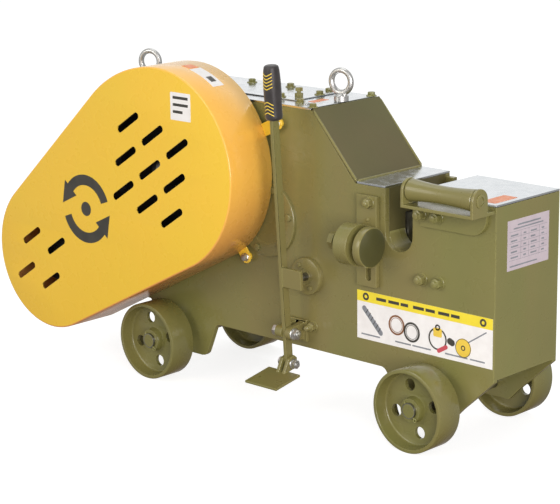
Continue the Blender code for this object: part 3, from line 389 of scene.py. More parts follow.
def hex_head(place, axis, across, height, turn=0.0, steps=60):
    """A hexagon head or nut: height falls off as a cone outside 95% of the flats' half-width."""
    u, v, w = (np.array(a, float) for a in AXES[axis])
    t = np.arange(steps) * TAU / steps
    edge = hexagon(t, across)
    crown = 0.475 * across
    around = np.cos(t + turn)[:, None] * u + np.sin(t + turn)[:, None] * v
    rows = [(0 * t, height + 0 * t), (0 * t + crown, height + 0 * t),
            (edge, height - (edge - crown) * 0.58), (edge, 0 * t + 0.0006), (0.97 * edge, 0 * t),
            (0 * t, 0 * t)]
    points = [place + r[:, None] * around + h[:, None] * w for r, h in rows]
    return grid(np.array(points))


def bolt(place, axis, across=0.018, head=0.0078, washer=0.0125, stud=0.0, turn=0.2):
    """A hexagon bolt head or nut on a washer, with a domed stud end where stud is its length."""
    place, w = np.array(place, float), np.array(AXES[axis][2], float)
    thick = 0.0018 if washer else 0.0
    shapes = [hex_head(place + thick * w, axis, across, head, turn)]
    if washer:
        shapes.append(lathe([(0, 0), (washer, 0), (washer, thick * 0.7), (washer - 0.0006, thick),
                             (0, thick)], place, axis, 40))
    if stud:
        radius = across * 0.33
        top = thick + head + stud
        turns = np.linspace(thick + head - 0.001, top - 0.001, max(4, int(stud / 0.0009)))
        thread = [(radius * (1.0 if i % 2 else 0.90), a) for i, a in enumerate(turns)]
        shapes.append(lathe([(0, thick)] + thread + [(radius * 0.72, top - 0.0003), (0, top)],
                            place, axis, 24))
    return shapes


def moved(shape, matrix):
    """A shape turned or shifted by a 4 x 4 matrix, in the machine frame."""
    m = np.array(matrix, float)
    return shape[0] @ m[:3, :3].T + m[:3, 3], shape[1]


def piece(name, shapes, finish, body, edge=0.0, sharp=32.0, replaces=(), second=None):
    """One mesh object from several shapes, closed, facing outwards, riding on its body.  Where a
    second finish is given, it is on the first shape."""
    points, faces, start = [], [], 0
    for shape_points, shape_faces in shapes:
        points.append(shape_points + ORIGIN)
        faces += [[n + start for n in face] for face in shape_faces]
        start += len(shape_points)
    mesh = bpy.data.meshes.new(name)
    mesh.from_pydata(np.vstack(points).tolist(), [], faces)
    mesh.materials.append(finish)
    if second:
        mesh.materials.append(second)
        which = np.zeros(len(faces), dtype=np.int32)
        which[:len(shapes[0][1])] = 1
        mesh.polygons.foreach_set("material_index", which)
    bm = bmesh.new()
    bm.from_mesh(mesh)
    bmesh.ops.remove_doubles(bm, verts=bm.verts, dist=2e-6)
    bmesh.ops.dissolve_degenerate(bm, dist=1e-6, edges=bm.edges)
    bmesh.ops.recalc_face_normals(bm, faces=bm.faces)
    bm.to_mesh(mesh)
    bm.free()
    made = bpy.data.objects.new(name, mesh)
    bpy.context.scene.collection.objects.link(made)
    return finish_piece(made, body, edge, sharp, replaces)


def finish_piece(made, body, edge, sharp, replaces):
    """Smooth the shading, round the edges where asked, and tie the piece to its body."""
    made.data.shade_smooth()
    if edge:
        rounding = made.modifiers.new("rounded_edges", "BEVEL")
        rounding.width, rounding.segments = edge, 2
        rounding.limit_method, rounding.angle_limit = "ANGLE", math.radians(28)
        rounding.use_clamp_overlap = False
        weights = made.modifiers.new("flat_faces", "WEIGHTED_NORMAL")
        weights.keep_sharp = False
    else:
        made.data.set_sharp_from_angle(angle=math.radians(sharp))
    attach(made, body)
    if replaces:
        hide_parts(*replaces)
    return made


def rounded(node, edge=0.0008, finish=None):
    """A CAD node's own shape, with its triangles joined, its flat faces made whole and its outside
    edges rounded as paint and a file leave them."""
    mesh = NODES[node].data.copy()
    mesh.name = node + "_skin"
    bm = bmesh.new()
    bm.from_mesh(mesh)
    bmesh.ops.remove_doubles(bm, verts=bm.verts, dist=2e-5)
    bmesh.ops.dissolve_limit(bm, angle_limit=math.radians(0.6), verts=bm.verts, edges=bm.edges)
    bm.to_mesh(mesh)
    bm.free()
    for layer in ("custom_normal", "sharp_face", "sharp_edge"):
        if layer in mesh.attributes:
            mesh.attributes.remove(mesh.attributes[layer])
    mesh.materials.clear()
    mesh.materials.append(finish or FINISH[SLOTS[node]])
    made = bpy.data.objects.new(node + "_skin", mesh)
    bpy.context.scene.collection.objects.link(made)
    return finish_piece(made, NODES[node]["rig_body"], edge, 32.0, (node,))


# ---- Belt guard ------------------------------------------------------------------------------------
def guard_outline(inset):
    """The guard's outline set in by a distance, walked by the heading of its outward normal.  At each
    heading the circle that reaches furthest gives the point: the small end's, or the big end's,
    which has a wider arc of its own on its upper left."""
    t = np.arange(320) * TAU / 320
    out = np.stack([np.cos(t), np.sin(t)], 1)
    wide = (t > math.pi / 2) & (t < math.pi)
    middle = np.where(wide[:, None], SHOULDER, INPUT)
    radius = np.where(wide, SHOULDER_R, GUARD_BIG_R)
    small = out @ MOTOR + GUARD_SMALL_R > (out * middle).sum(1) + radius
    middle = np.where(small[:, None], MOTOR, middle)
    radius = np.where(small, GUARD_SMALL_R, radius)
    return middle + out * (radius - inset)[:, None]


def belt_guard():
    """A pan rolled from sheet.  The wall is the outline round both pulleys, set in by each profile
    point's first value and placed at its second as depth; the face carries the vent slots."""
    corner = GUARD_CORNER
    bend = [(corner - corner * math.sin(a), GUARD_FACE_Y + corner - corner * math.cos(a))
            for a in np.linspace(0, math.pi / 2, 5)]
    inside = GUARD_FACE_Y + GUARD_SHEET
    back = GUARD_BACK_Y - GUARD_SHEET
    profile = bend + [(0.0, GUARD_BACK_Y - 0.0012), (0.0012, GUARD_BACK_Y), (GUARD_LIP, GUARD_BACK_Y),
                      (GUARD_LIP, back), (GUARD_SHEET, back), (GUARD_SHEET, inside + 0.0005),
                      (corner, inside)]
    wall = []
    for inset, depth in profile:
        loop = guard_outline(inset)
        wall.append(np.stack([loop[:, 0], np.full(len(loop), depth), loop[:, 1]], 1))
    tilt, step = math.radians(33.2), (0.0700, -0.0185)
    slots = [(x + step[0] * k, z + step[1] * k, 0.0585)
             for x, z in ((-0.8275, 0.5485), (-0.8375, 0.4780), (-0.8470, 0.4070)) for k in range(3)]
    slots += [(x, z, 0.0525) for x, z in ((-1.143, 0.268), (-1.064, 0.257), (-1.165, 0.188),
                                         (-1.085, 0.178))]
    holes = []
    for x, z, length in slots:
        dx, dz = math.cos(tilt) * length / 2, math.sin(tilt) * length / 2
        holes.append(stadium(x - dx, z - dz, x + dx, z + dz, 0.0074))
    rim = guard_outline(corner)
    shapes = [grid(wall), face_with_holes(rim, holes, GUARD_FACE_Y),
              face_with_holes(rim, holes, inside)]
    for hole in holes:
        rows = [np.stack([hole[:, 0], np.full(len(hole), y), hole[:, 1]], 1)
                for y in (GUARD_FACE_Y, inside)]
        shapes.append(grid(rows))
    lip = guard_outline(GUARD_LIP)
    cut, closing = LEFT - 0.004, []
    for (ax, az), (bx, bz) in zip(lip, np.roll(lip, -1, 0)):
        if ax < cut:
            closing.append((ax, az))
        if (ax < cut) != (bx < cut):
            closing.append((cut, az + (bz - az) * (cut - ax) / (bx - ax)))
    shapes.append(plate(closing, back, GUARD_BACK_Y, "XZ", [circle(*MOTOR, 0.040, 48)]))
    # The wall takes the lighter yellow that browns downward: painted light above, painted shade below.
    piece("belt_guard_pan", shapes, YELLOW, "frame", sharp=50,
          replaces=["belt_guard"], second=YELLOW_WALL_PAINTED_LIGHT_AND_SHADE)

    tabs, bolts = [], []
    for heading, reach in ((25, 0.041), (-53, 0.016)):
        angle = math.radians(heading)
        dx, dz = math.cos(angle), math.sin(angle)
        near, far = GUARD_BIG_R - 0.0005, GUARD_BIG_R + reach
        middle = (INPUT[0] + far * dx, INPUT[1] + far * dz)
        outline = [(INPUT[0] + near * dx + 0.013 * dz, INPUT[1] + near * dz - 0.013 * dx)]
        outline += arc(*middle, 0.013, heading - 90, heading + 90, 14).tolist()
        outline += [(INPUT[0] + near * dx - 0.013 * dz, INPUT[1] + near * dz + 0.013 * dx)]
        tabs.append(plate(outline, -0.0125, -0.009))
        bolts += bolt((middle[0], -0.0125, middle[1]), "-Y", 0.013, 0.0055, 0.0085)
        spacer = [(0, 0), (0.0075, 0), (0.0075, 0.0085), (0, 0.0085)]
        tabs.append(lathe(spacer, (middle[0], -0.0005, middle[1]), "-Y", 32))
    piece("guard_tabs", tabs, YELLOW, "frame", edge=0.0008)
    piece("guard_tab_bolts", bolts, ZINC, "frame")


# ---- Wheels ----------------------------------------------------------------------------------------
def wheel(name, x, middle_y, out, turn):
    """A cast wheel: the rim and hub are turned profiles, and the web between them is a ring with
    four lightening holes.  Distances along the axis grow towards the machine's outside."""
    half, steps = WHEEL_WIDTH / 2, 96
    axis = "-Y" if out < 0 else "Y"
    place = (x, middle_y, AXLE_Z)
    web, fillet = 0.004, [(0.0665, 0.0040), (0.0685, 0.0044), (0.0698, 0.0056), (0.0703, 0.0080)]
    outer = fillet + [(0.0728, half - 0.0006), (0.0734, half), (0.0778, half), (0.0792, half - 0.0006),
                      (WHEEL_R, half - 0.0022)]
    rim = outer + [(r, -a) for r, a in outer[::-1]]
    near = [(0.0265, web), (0.0248, 0.0045), (0.0237, 0.0062), (0.0232, 0.009), (0.0222, half - 0.0155),
            (0.0214, half - 0.0142), (AXLE_R + 0.0006, half - 0.0138)]
    hub = near + [(r, -a * 1.3 if a > 0.0135 else -a) for r, a in near[::-1]]
    holes = [circle(0.046 * math.cos(a), 0.046 * math.sin(a), 0.0118, 28)
             for a in [math.radians(turn + 90 * k) for k in range(4)]]
    shapes = [lathe(rim, place, axis, steps), lathe(hub, place, axis, steps)]
    u, v, w = (np.array(a, float) for a in AXES[axis])
    for height in (web, -web):
        flat, faces = face_with_holes(circle(0, 0, 0.0665, steps), [circle(0, 0, 0.0265, steps)] + holes,
                                      height, "XY")
        shapes.append((np.array(place) + flat[:, :1] * u + flat[:, 1:2] * v + height * w, faces))
    for hole in holes:
        rows = [np.array(place) + hole[:, :1] * u + hole[:, 1:] * v + h * w for h in (web, -web)]
        shapes.append(grid(rows))
    piece(name, shapes, OLIVE_CAST, name, sharp=38, replaces=[name])


def wheels():
    """The four wheels, and on each axle end a washer and a split pin, which stay with the frame."""
    front, rear = -WHEEL_GAP - WHEEL_WIDTH / 2, DEPTH + WHEEL_GAP + WHEEL_WIDTH / 2
    for side, x in zip(("left", "right"), AXLE_X):
        wheel(f"wheel_front_{side}", x, front, -1, 15)
        wheel(f"wheel_rear_{side}", x, rear, 1, 30)
        half = WHEEL_WIDTH / 2
        ends, pins = [], []
        for middle, axis, sign in ((front, "-Y", -1), (rear, "Y", 1)):
            start, tip = half - 0.0135, half - 0.0062
            ends.append(lathe([(0, 0), (AXLE_R - 0.0004, 0), (AXLE_R - 0.0004, tip - 0.0015),
                               (AXLE_R - 0.0018, tip), (0, tip)], (x, middle, AXLE_Z), axis, 48))
            ends.append(lathe([(AXLE_R, start), (0.0225, start), (0.0225, start + 0.0022),
                               (AXLE_R, start + 0.0022), (AXLE_R, start)], (x, middle, AXLE_Z), axis, 48))
            y = middle + sign * (start + 0.0042)
            for s0, s1, gap in ((-0.0190, 0.0185, 0.0), (-0.0200, -0.0150, 0.0016)):
                pins.append(tube([(x + 0.64 * s + gap, y, AXLE_Z - 0.77 * s) for s in
                                  np.linspace(s0, s1, 5)], 0.0014, 8))
            eye = [(x + 0.64 * 0.021 + 0.0033 * math.cos(a), y, AXLE_Z - 0.77 * 0.021
                    + 0.0033 * math.sin(a)) for a in np.linspace(0, TAU, 17)[:-1]]
            pins.append(tube(eye, 0.0011, 8, closed=True))
        piece(f"axle_ends_{side}", ends, OLIVE_CAST, "frame", edge=0.0004)
        piece(f"split_pins_{side}", pins, OLIVE, "frame")


# ---- Lifting eyes ----------------------------------------------------------------------------------
def eye_bolt(name, x, y, collar, turn):
    """A forged lifting eye: a ring whose bar thickens towards the foot, blended into a collar.  It
    stands turned by the angle at which its thread pulled tight."""
    ring_r, rod_r = 0.022, 0.0060
    t = np.arange(64) * TAU / 64
    middle = TOP_Z + collar + ring_r + 0.004
    path = np.stack([ring_r * np.sin(t), 0 * t, middle + ring_r * np.cos(t)], 1)
    ring = moved(tube(path, rod_r - 0.0004 + 0.0004 * (1 - np.cos(t)), 20, closed=True),
                 Matrix.Translation((x, y, 0)) @ Matrix.Rotation(math.radians(turn), 4, "Z"))
    foot = [(0, 0.0004), (0.0138, 0.0004), (0.0145, 0.0012), (0.0145, collar - 0.0016),
            (0.0136, collar - 0.0004), (0.0110, collar + 0.0010), (0.0085, collar + 0.0035),
            (0, collar + 0.006)]
    piece(name + "_forged", [ring, lathe(foot, (x, y, TOP_Z), "Z", 48)], ZINC, "frame",
          replaces=[name])


# ---- Housing ---------------------------------------------------------------------------------------
def bead(start, end, radius=0.0024):
    """A weld bead: a bar whose radius swells once for each 5 mm ripple of the pass."""
    start, end = np.array(start, float), np.array(end, float)
    length = np.linalg.norm(end - start)
    s = np.linspace(0, 1, max(8, int(length / 0.0012)))
    swell = radius * (1 + 0.12 * np.abs(np.sin(math.pi * s * length / 0.005)))
    swell = swell * np.clip(np.minimum(s, 1 - s) * length / 0.004, 0.25, 1)
    return tube(start + s[:, None] * (end - start), swell, 10)


def housing():
    for node in ("front_side_plate", "rear_side_plate", "bottom_plate", "left_end_plate",
                 "blade_seat"):
        rounded(node, 0.0010, OLIVE)
    # The end plate, the slope and the slot wall take the deeper olive, which is painted shade.
    rounded("right_end_plate", 0.0010, OLIVE_END_PAINTED_SHADE)
    for node in ("slope_plate", "slot_wall"):
        rounded(node, 0.0010, OLIVE_SLOPE_PAINTED_SHADE)
    for node in ("top_cover", "table_cover_left", "table_cover_right", "hatch_cover"):
        rounded(node, 0.0006)
    for node in ("lever_bar", "lever_pedal", "lever_bracket", "stop_bracket", "roller_bracket"):
        rounded(node, 0.0010)
    seams = [bead((SLOPE_TOP[0], 0.0, SLOPE_TOP[1] - 0.004), (SLOPE_FOOT[0], 0.0, SLOPE_FOOT[1])),
             bead((SLOPE_TOP[0], DEPTH, SLOPE_TOP[1] - 0.004), (SLOPE_FOOT[0], DEPTH, SLOPE_FOOT[1])),
             bead((SLOPE_FOOT[0], 0.003, SLOPE_FOOT[1] + 0.0005),
                  (SLOPE_FOOT[0], DEPTH - 0.003, SLOPE_FOOT[1] + 0.0005))]
    piece("slope_weld_beads", seams, OLIVE, "frame")
    # The corners of the end faces are ground flush and filled.  These skins cover the end plates' faces.
    near, far = 0.0012, DEPTH - 0.0012
    skins = [plate([(near, 0.150), (far, 0.150), (far, top - 0.0046), (near, top - 0.0046)], low, high, "YZ")
             for top, low, high in ((TABLE_Z, -0.0002, 0.0004), (TOP_Z, LEFT - 0.0004, LEFT + 0.0002))]
    piece("ground_end_faces", skins, OLIVE, "frame")


def bolt_circle(centre, radius, headings, y, axis, *sizes):
    """Bolts on a side plate at the given headings, in degrees, on a circle round (x, z)."""
    heads = []
    for a in np.radians(headings):
        heads += bolt((centre[0] + radius * math.cos(a), y, centre[1] + radius * math.sin(a)), axis, *sizes)
    return heads


def fasteners():
    top = [(-0.741, 0.146), (-0.639, 0.153), (-0.569, 0.050), (-0.503, 0.035), (-0.529, 0.119),
           (-0.546, 0.166), (-0.446, 0.008), (-0.450, 0.184), (-0.930, 0.048), (-0.930, 0.152),
           (-0.760, 0.048)]
    heads = []
    for i, (x, y) in enumerate(top):
        height = TOP_Z + (0.0024 if -0.940 < x < -0.521 and 0.040 < y < 0.160 else 0.0001)
        heads += bolt((x, y, height), "Z", 0.013, 0.0062, 0.0105, turn=0.5 * i)
    piece("top_cover_bolts", heads, OLIVE, "frame")
    caps = [lathe([(0, 0), (0.0062, 0), (0.0060, 0.0016), (0.0048, 0.0030), (0.0026, 0.0038), (0, 0.0041)],
                  (x, y, TOP_Z + 0.0001), "Z", 32) for x, y in ((-0.480, 0.027), (-0.470, 0.114))]
    piece("top_button_screws", caps, ZINC, "frame")
    foot = TOP_Z + 0.0026
    plug = bolt((*BREATHER, foot), "Z", 0.0145, 0.0085, 0.0085, turn=0.3)
    plug += bolt((*BREATHER, foot + 0.0138), "Z", 0.0140, 0.0072, 0.0, turn=0.9)
    plug.append(lathe([(0, 0.008), (0.0040, 0.008), (0.0040, 0.0145), (0, 0.0145)],
                      (*BREATHER, foot), "Z", 32))
    piece("breather_cap", plug, OLIVE, "frame", replaces=["breather_plug"])

    side = []
    for x, z in ((-0.168, 0.3123), (-0.128, 0.3123)):
        side += bolt((x, -0.0002, z), "-Y", 0.018, 0.0115, 0.0130, 0.006, turn=0.3 + x)
    for x, z in ((-0.165, 0.4375), (-0.126, 0.4375)):
        side += bolt((x, -0.0084, z), "-Y", 0.018, 0.0115, 0.0130, 0.006, turn=0.1 + x)
    side += bolt((-0.288, -0.0106, 0.442), "-Y", 0.017, 0.0100, 0.0120, 0.005)
    side += bolt((-0.441, -0.0002, 0.171), "-Y", 0.016, 0.0100, 0.0115, 0.012)
    side.append(lathe([(0, 0), (0.0032, 0), (0.0030, 0.0018), (0.0018, 0.0028), (0, 0.0030)],
                      (-0.292, -0.0106, 0.409), "-Y", 20))
    side += bolt_circle(CLUTCH_ROD, 0.026, (125, 305), -0.0121, "-Y", 0.008, 0.0042, 0.0)
    side += bolt_circle(CRANK, 0.064, range(10, 370, 60), -0.0059, "-Y", 0.013, 0.0050, 0.0)
    piece("side_plate_bolts", side, OLIVE, "frame")

    back = bolt_circle(CRANK, 0.051, range(0, 360, 60), DEPTH + 0.0080, "Y", 0.010, 0.0044, 0.0)
    caps = []
    for place in (INPUT, MIDDLE):
        for y, axis in ((DEPTH + 0.0002, "Y"), (-0.0002, "-Y")):
            if place is INPUT and axis == "-Y":
                continue
            caps.append(lathe([(0.0245, 0), (0.0440, 0), (0.0440, 0.0080), (0.0425, 0.0095),
                               (0.0300, 0.0100), (0.0285, 0.0130), (0, 0.0136), (0, 0.0060),
                               (0.0245, 0.0060), (0.0245, 0)], (place[0], y, place[1]), axis, 64))
            depth = y + (0.0097 if axis == "Y" else -0.0097)
            back += bolt_circle(place, 0.037, range(45, 405, 90), depth, axis, 0.008, 0.0040, 0.0)
    piece("bearing_caps", caps, OLIVE, "frame", sharp=25)
    piece("rear_cover_bolts", back, OLIVE, "frame")


def covers():
    """Turned covers and flanges, with their edges broken."""
    piece("crank_cover_front_turned", [lathe(
        [(0, 0.0003), (0.076, 0.0003), (0.076, 0.0046), (0.0752, 0.0055), (0.0740, 0.0058),
         (0.050, 0.0058), (0.049, 0.0050), (0, 0.0050)], (CRANK[0], 0, CRANK[1]), "-Y", 120)],
        OLIVE, "frame", replaces=["crank_cover_front"])
    piece("crank_cover_rear_turned", [lathe(
        [(0, 0.0025), (0.027, 0.0025), (0.027, 0.0003), (0.060, 0.0003), (0.060, 0.0062),
         (0.0592, 0.0074), (0.0575, 0.0080), (0.034, 0.0080), (0.033, 0.0072), (0, 0.0072)],
        (CRANK[0], DEPTH, CRANK[1]), "Y", 96)], OLIVE, "frame",
        replaces=["crank_cover_rear"])
    piece("clutch_flange_turned", [lathe(
        [(0.0083, 0.0003), (0.037, 0.0003), (0.037, 0.0104), (0.0364, 0.0114), (0.0350, 0.0120),
         (0.0165, 0.0120), (0.0155, 0.0100), (0.0083, 0.0100), (0.0083, 0.0003)],
        (CLUTCH_ROD[0], 0, CLUTCH_ROD[1]), "-Y", 72)], OLIVE, "frame",
        replaces=["clutch_flange"])


# ---- Bar stop and feed roller ----------------------------------------------------------------------
def bar_stop():
    back_and_rim = [(0, -0.2680), (0.0366, -0.2680), (0.0380, -0.2672), (0.0385, -0.2658),
                    (0.0385, -0.2532), (0.0380, -0.2518), (0.0366, -0.2510)]
    shapes = [lathe(profile, (0, STOP_Y, STOP_Z), "X", 96)
              for profile in ([(0.0366, -0.2510), (0, -0.2510)], back_and_rim)]
    # The pad's face takes the darkest olive, which is painted shade.
    piece("stop_pad_turned", shapes, OLIVE, "stop_pad", replaces=["stop_pad"],
          second=OLIVE_FACE_PAINTED_SHADE)
    rows = np.linspace(-0.2684, -0.3380, 58)
    thread = [(0.0120 if i % 2 else 0.0108, a) for i, a in enumerate(rows)]
    screw = lathe([(0, -0.2683)] + thread + [(0, -0.3380)], (0, STOP_Y, STOP_Z), "X", 36)
    head = hex_head((-0.3380, STOP_Y, STOP_Z), "-X", 0.030, 0.0130)
    piece("stop_screw_cut", [screw, head], OLIVE, "stop_screw",
          replaces=["stop_screw"])


def feed_roller():
    """An hourglass roller: its radius dips by 4 mm as half a sine wave between its ends."""
    s = np.linspace(0, 1, 41)
    body = [(0.0084, -0.0080), (0.0195, -0.0080), (0.0205, -0.0090)]
    body += [(0.0205 - 0.0040 * math.sin(math.pi * t), -0.0120 - 0.1410 * t) for t in s]
    body += [(0.0205, -0.1560), (0.0195, -0.1570), (0.0084, -0.1570), (0.0084, -0.0080)]
    piece("feed_roller_turned", [lathe(body, (0, ROLLER_Y, ROLLER_Z), "X", 96)], OLIVE,
          "feed_roller", replaces=["feed_roller"])
    ends = [lathe([(0, -0.1685), (0.0075, -0.1685), (0.0080, -0.1680), (0.0080, -0.0010),
                   (0.0074, 0.0002), (0, 0.0006)], (0, ROLLER_Y, ROLLER_Z), "X", 48)]
    for x, axis in ((0.0002, "X"), (-0.1652, "-X")):
        ends.append(lathe([(0.0082, 0), (0.0125, 0), (0.0125, 0.0012), (0.0118, 0.0016),
                           (0.0082, 0.0016), (0.0082, 0)], (x, ROLLER_Y, ROLLER_Z), axis, 48))
    piece("roller_pin_turned", ends, OLIVE, "frame", replaces=["roller_pin"])


# ---- Lever -----------------------------------------------------------------------------------------
def leaning():
    """The turn that leans the lever's pieces about its pivot."""
    pivot = Vector(LEVER)
    return Matrix.Translation(pivot) @ Matrix.Rotation(LEAN, 4, "X") @ Matrix.Translation(-pivot)


def grip_radius(height):
    """The grip's half-width at a height: full in the palm, waisted above the guard ring."""
    heights = [0.5868, 0.5875, 0.5905, 0.594, 0.598, 0.605, 0.618, 0.630, 0.645, 0.662, 0.676, 0.683,
               0.688, 0.6910, 0.6928, 0.6932]
    radii = [0.0105, 0.0142, 0.0160, 0.0165, 0.0163, 0.0161, 0.0163, 0.0167, 0.0169, 0.0166, 0.0158,
             0.0152, 0.0143, 0.0130, 0.0095, 0.0050]
    return np.interp(height, heights, radii)


def lever_grip():
    """The grip: a superellipse section of power 2.25 at each height.  Chevrons are short bars of a
    second colour, laid on that surface at an angle and height that follow a V."""
    heights = np.concatenate([[0.5868, 0.5875, 0.5890, 0.5905], np.linspace(0.592, 0.688, 60),
                              [0.6895, 0.6908, 0.6918, 0.6926, 0.6932]])
    t = np.arange(72) * TAU / 72
    power = 2.25
    flat = (np.abs(np.cos(t)) ** power + np.abs(np.sin(t)) ** power) ** (-1 / power)
    x, y = LEVER[:2]

    def on_grip(angle, height, proud):
        c, s = np.cos(angle), np.sin(angle)
        reach = (np.abs(c) ** power + np.abs(s) ** power) ** (-1 / power)
        radius = 0.98 * grip_radius(height) * reach + proud
        return np.stack([x + radius * c, y + radius * s, height + 0 * radius], -1)

    rows = [np.stack([x + 0.98 * grip_radius(h) * flat * np.cos(t),
                      y + 0.98 * grip_radius(h) * flat * np.sin(t), np.full(72, h)], 1)
            for h in heights]
    body = moved(swept(rows), leaning())
    piece("lever_grip_moulded", [body], GRIP_BLACK, "lever", replaces=["lever_grip"])
    bars = []
    front = -math.pi / 2
    groups = [(0.6765 - 0.0064 * k, -1) for k in range(5)] + [(0.6205 - 0.0068 * k, 1) for k in range(4)]
    for height, way in groups:
        s = np.linspace(-0.78, 0.78, 27)
        bow = np.sqrt(s ** 2 + 0.02) - math.sqrt(0.02)
        line = height - way * (bow - 0.35) * 0.0085
        sections = [on_grip(front + s, line + dz, proud)
                    for dz, proud in ((-0.0011, -0.0004), (-0.0009, 0.0004), (0.0009, 0.0004),
                                      (0.0011, -0.0004))]
        bars.append(moved(swept(np.stack(sections, 1)), leaning()))
    piece("grip_chevrons", bars, GRIP_YELLOW, "lever")


def lever_hardware():
    x, y, z = LEVER
    pivot = [lathe([(0, -0.030), (0.0058, -0.030), (0.0058, 0.026), (0, 0.026)], (x, y, z), "X", 24)]
    pivot += bolt((x - 0.0225, y, z), "-X", 0.019, 0.0085, 0.0120)
    pivot += bolt((x + 0.0185, y, z), "X", 0.019, 0.0095, 0.0120, 0.004)
    piece("lever_pivot_hardware", pivot, ZINC, "frame", replaces=["lever_pivot_bolt"])
    foot = [lathe([(0, -0.018), (0.0050, -0.018), (0.0050, 0.016), (0, 0.016)],
                  (x, *PEDAL_BOLT), "X", 24)]
    foot += bolt((x - 0.0117, *PEDAL_BOLT), "-X", 0.0165, 0.0085, 0.0105)
    foot += bolt((x + 0.0117, *PEDAL_BOLT), "X", 0.0165, 0.0085, 0.0105, 0.004)
    piece("pedal_bolt", foot, ZINC, "lever")


# ---- Motor and drive -------------------------------------------------------------------------------
def motor():
    """The motor: 40 cooling fins stand off the barrel as a rounded wave in angle, between turned
    end shields; a fan cowl with ring slots closes the back."""
    x, z = MOTOR
    t = np.arange(400) * TAU / 400
    fin = np.clip(np.cos(20 * 2 * t) * 2.2 + 0.1, 0, 1)
    rows = []
    for y, share in ((0.030, 0.0), (0.034, 1.0), (0.222, 1.0), (0.226, 0.0)):
        radius = 0.0690 + 0.0100 * fin * share
        rows.append(np.stack([x + radius * np.cos(t), np.full(400, y), z + radius * np.sin(t)], 1))
    shields = [
        lathe([(0.0130, 0.010), (0.030, 0.010), (0.034, 0.016), (0.062, 0.018), (0.076, 0.021),
               (0.0795, 0.025), (0.0795, 0.038), (0.074, 0.041), (0.013, 0.041), (0.013, 0.010)],
              (x, 0, z), "Y", 96),
        lathe([(0.013, 0.215), (0.074, 0.215), (0.0795, 0.219), (0.0795, 0.232), (0.076, 0.2385),
               (0.013, 0.2398), (0.013, 0.215)], (x, 0, z), "Y", 96)]
    feet = [plate(rounded_box((0.052 + 0.094 * k, 0.096 + 0.094 * k), (z - 0.067, z + 0.067), 0.006),
                  LEFT - 0.030, LEFT - 0.0004, "YZ") for k in range(2)]
    piece("motor_barrel", [swept(rows)] + shields + feet, MOTOR_GREY, "frame", sharp=35,
          replaces=["motor_housing"])
    slots = []
    for radius in (0.020, 0.032, 0.044, 0.056):
        for k in range(6):
            start, end = 60 * k + 6, 60 * k + 54
            slots.append(np.vstack([arc(x, z, radius - 0.0030, start, end, 10),
                                    arc(x, z, radius + 0.0030, end, start, 10)]))
    grille = plate(circle(x, z, 0.0625, 96), 0.3022, 0.3040, "XZ", slots)
    cowl = lathe([(0.0620, 0.3022), (0.0620, 0.3040), (0.0660, 0.3036), (0.0715, 0.3005),
                  (0.0750, 0.2960), (0.0760, 0.2900), (0.0760, 0.2404), (0.0740, 0.2404),
                  (0.0740, 0.2900), (0.0720, 0.2970), (0.0660, 0.3015), (0.0620, 0.3022)],
                 (x, 0, z), "Y", 96)
    piece("fan_cowl", [grille, cowl], MOTOR_GREY, "frame", replaces=["motor_fan_cover"])
    blades = [lathe([(0, 0.262), (0.030, 0.262), (0.064, 0.266), (0.066, 0.268), (0.030, 0.266),
                     (0.016, 0.272), (0, 0.272)], (x, 0, z), "Y", 48)]
    for k in range(7):
        a = TAU * k / 7
        c, s = math.cos(a), math.sin(a)
        corners = [(x + r * c + side * s, z + r * s - side * c)
                   for r, side in ((0.018, -0.0012), (0.066, -0.0012), (0.066, 0.0012), (0.018, 0.0012))]
        blades.append(plate(corners, 0.264, 0.292))
    piece("cooling_fan", blades, BLACK_RUBBER, "rotor")
    rounded("terminal_box", 0.0008)
    box_x, box_z = x - 0.080 - 0.042, z
    lid = [plate(rounded_box((0.079, 0.176), (box_z - 0.046, box_z + 0.046), 0.006),
                 box_x - 0.0050, box_x, "YZ")]
    screws = []
    for y, dz in ((0.087, -0.038), (0.087, 0.038), (0.168, -0.038), (0.168, 0.038)):
        screws += bolt((box_x - 0.0050, y, box_z + dz), "-X", 0.008, 0.0030, 0.0)
    piece("terminal_box_lid", lid, MOTOR_GREY, "frame", edge=0.0012)
    piece("terminal_box_screws", screws, ZINC, "frame")
    gland_x = x - 0.080 - 0.022
    gland = [hex_head((gland_x, 0.1275, z - 0.0455), "-Z", 0.026, 0.0080),
             hex_head((gland_x, 0.1275, z - 0.0560), "-Z", 0.022, 0.0090, 0.3),
             lathe([(0, 0), (0.0095, 0), (0.0095, 0.0260), (0.0060, 0.0275), (0, 0.0275)],
                   (gland_x, 0.1275, z - 0.045), "-Z", 32)]
    piece("cable_gland", gland, BLACK_RUBBER, "frame")
    badge = plate(rounded_box((0.105, 0.155), (z + 0.010, z + 0.040), 0.002), 0, 0.0006, "YZ")
    shift = Matrix.Translation((x, 0, z)) @ Matrix.Rotation(math.radians(-110), 4, "Y") \
        @ Matrix.Translation((0.0795, 0, -z - 0.025))
    piece("motor_plate", [moved(badge, shift)], GALVANISED, "frame", edge=0.0003)


def plain_nodes():
    """The working pieces that keep their CAD shape and mesh, each given the finish named by its material
    slot.
    """
    for node in ("drive_belt_1", "drive_belt_2", "flywheel_pulley", "motor_pulley", "bull_gear",
                 "intermediate_gear", "intermediate_shaft", "input_shaft", "crankshaft", "dog_sleeve",
                 "connecting_rod", "wrist_pin", "ram", "moving_blade", "fixed_blade",
                 "ram_guide_bottom", "ram_guide_top", "input_bearing_housing", "motor_shaft",
                 "clutch_rod", "clutch_fork", "axle_left", "axle_right"):
        NODES[node].data.materials[0] = FINISH[SLOTS[node]]


# ---- Labels ----------------------------------------------------------------------------------------
def bars(rows, low, high, plane):
    """Plain bars that stand where a label has lines: each row is (u0, u1, v0, v1)."""
    return [plate([(u0, v0), (u1, v0), (u1, v1), (u0, v1)], low, high, plane)
            for u0, u1, v0, v1 in rows]


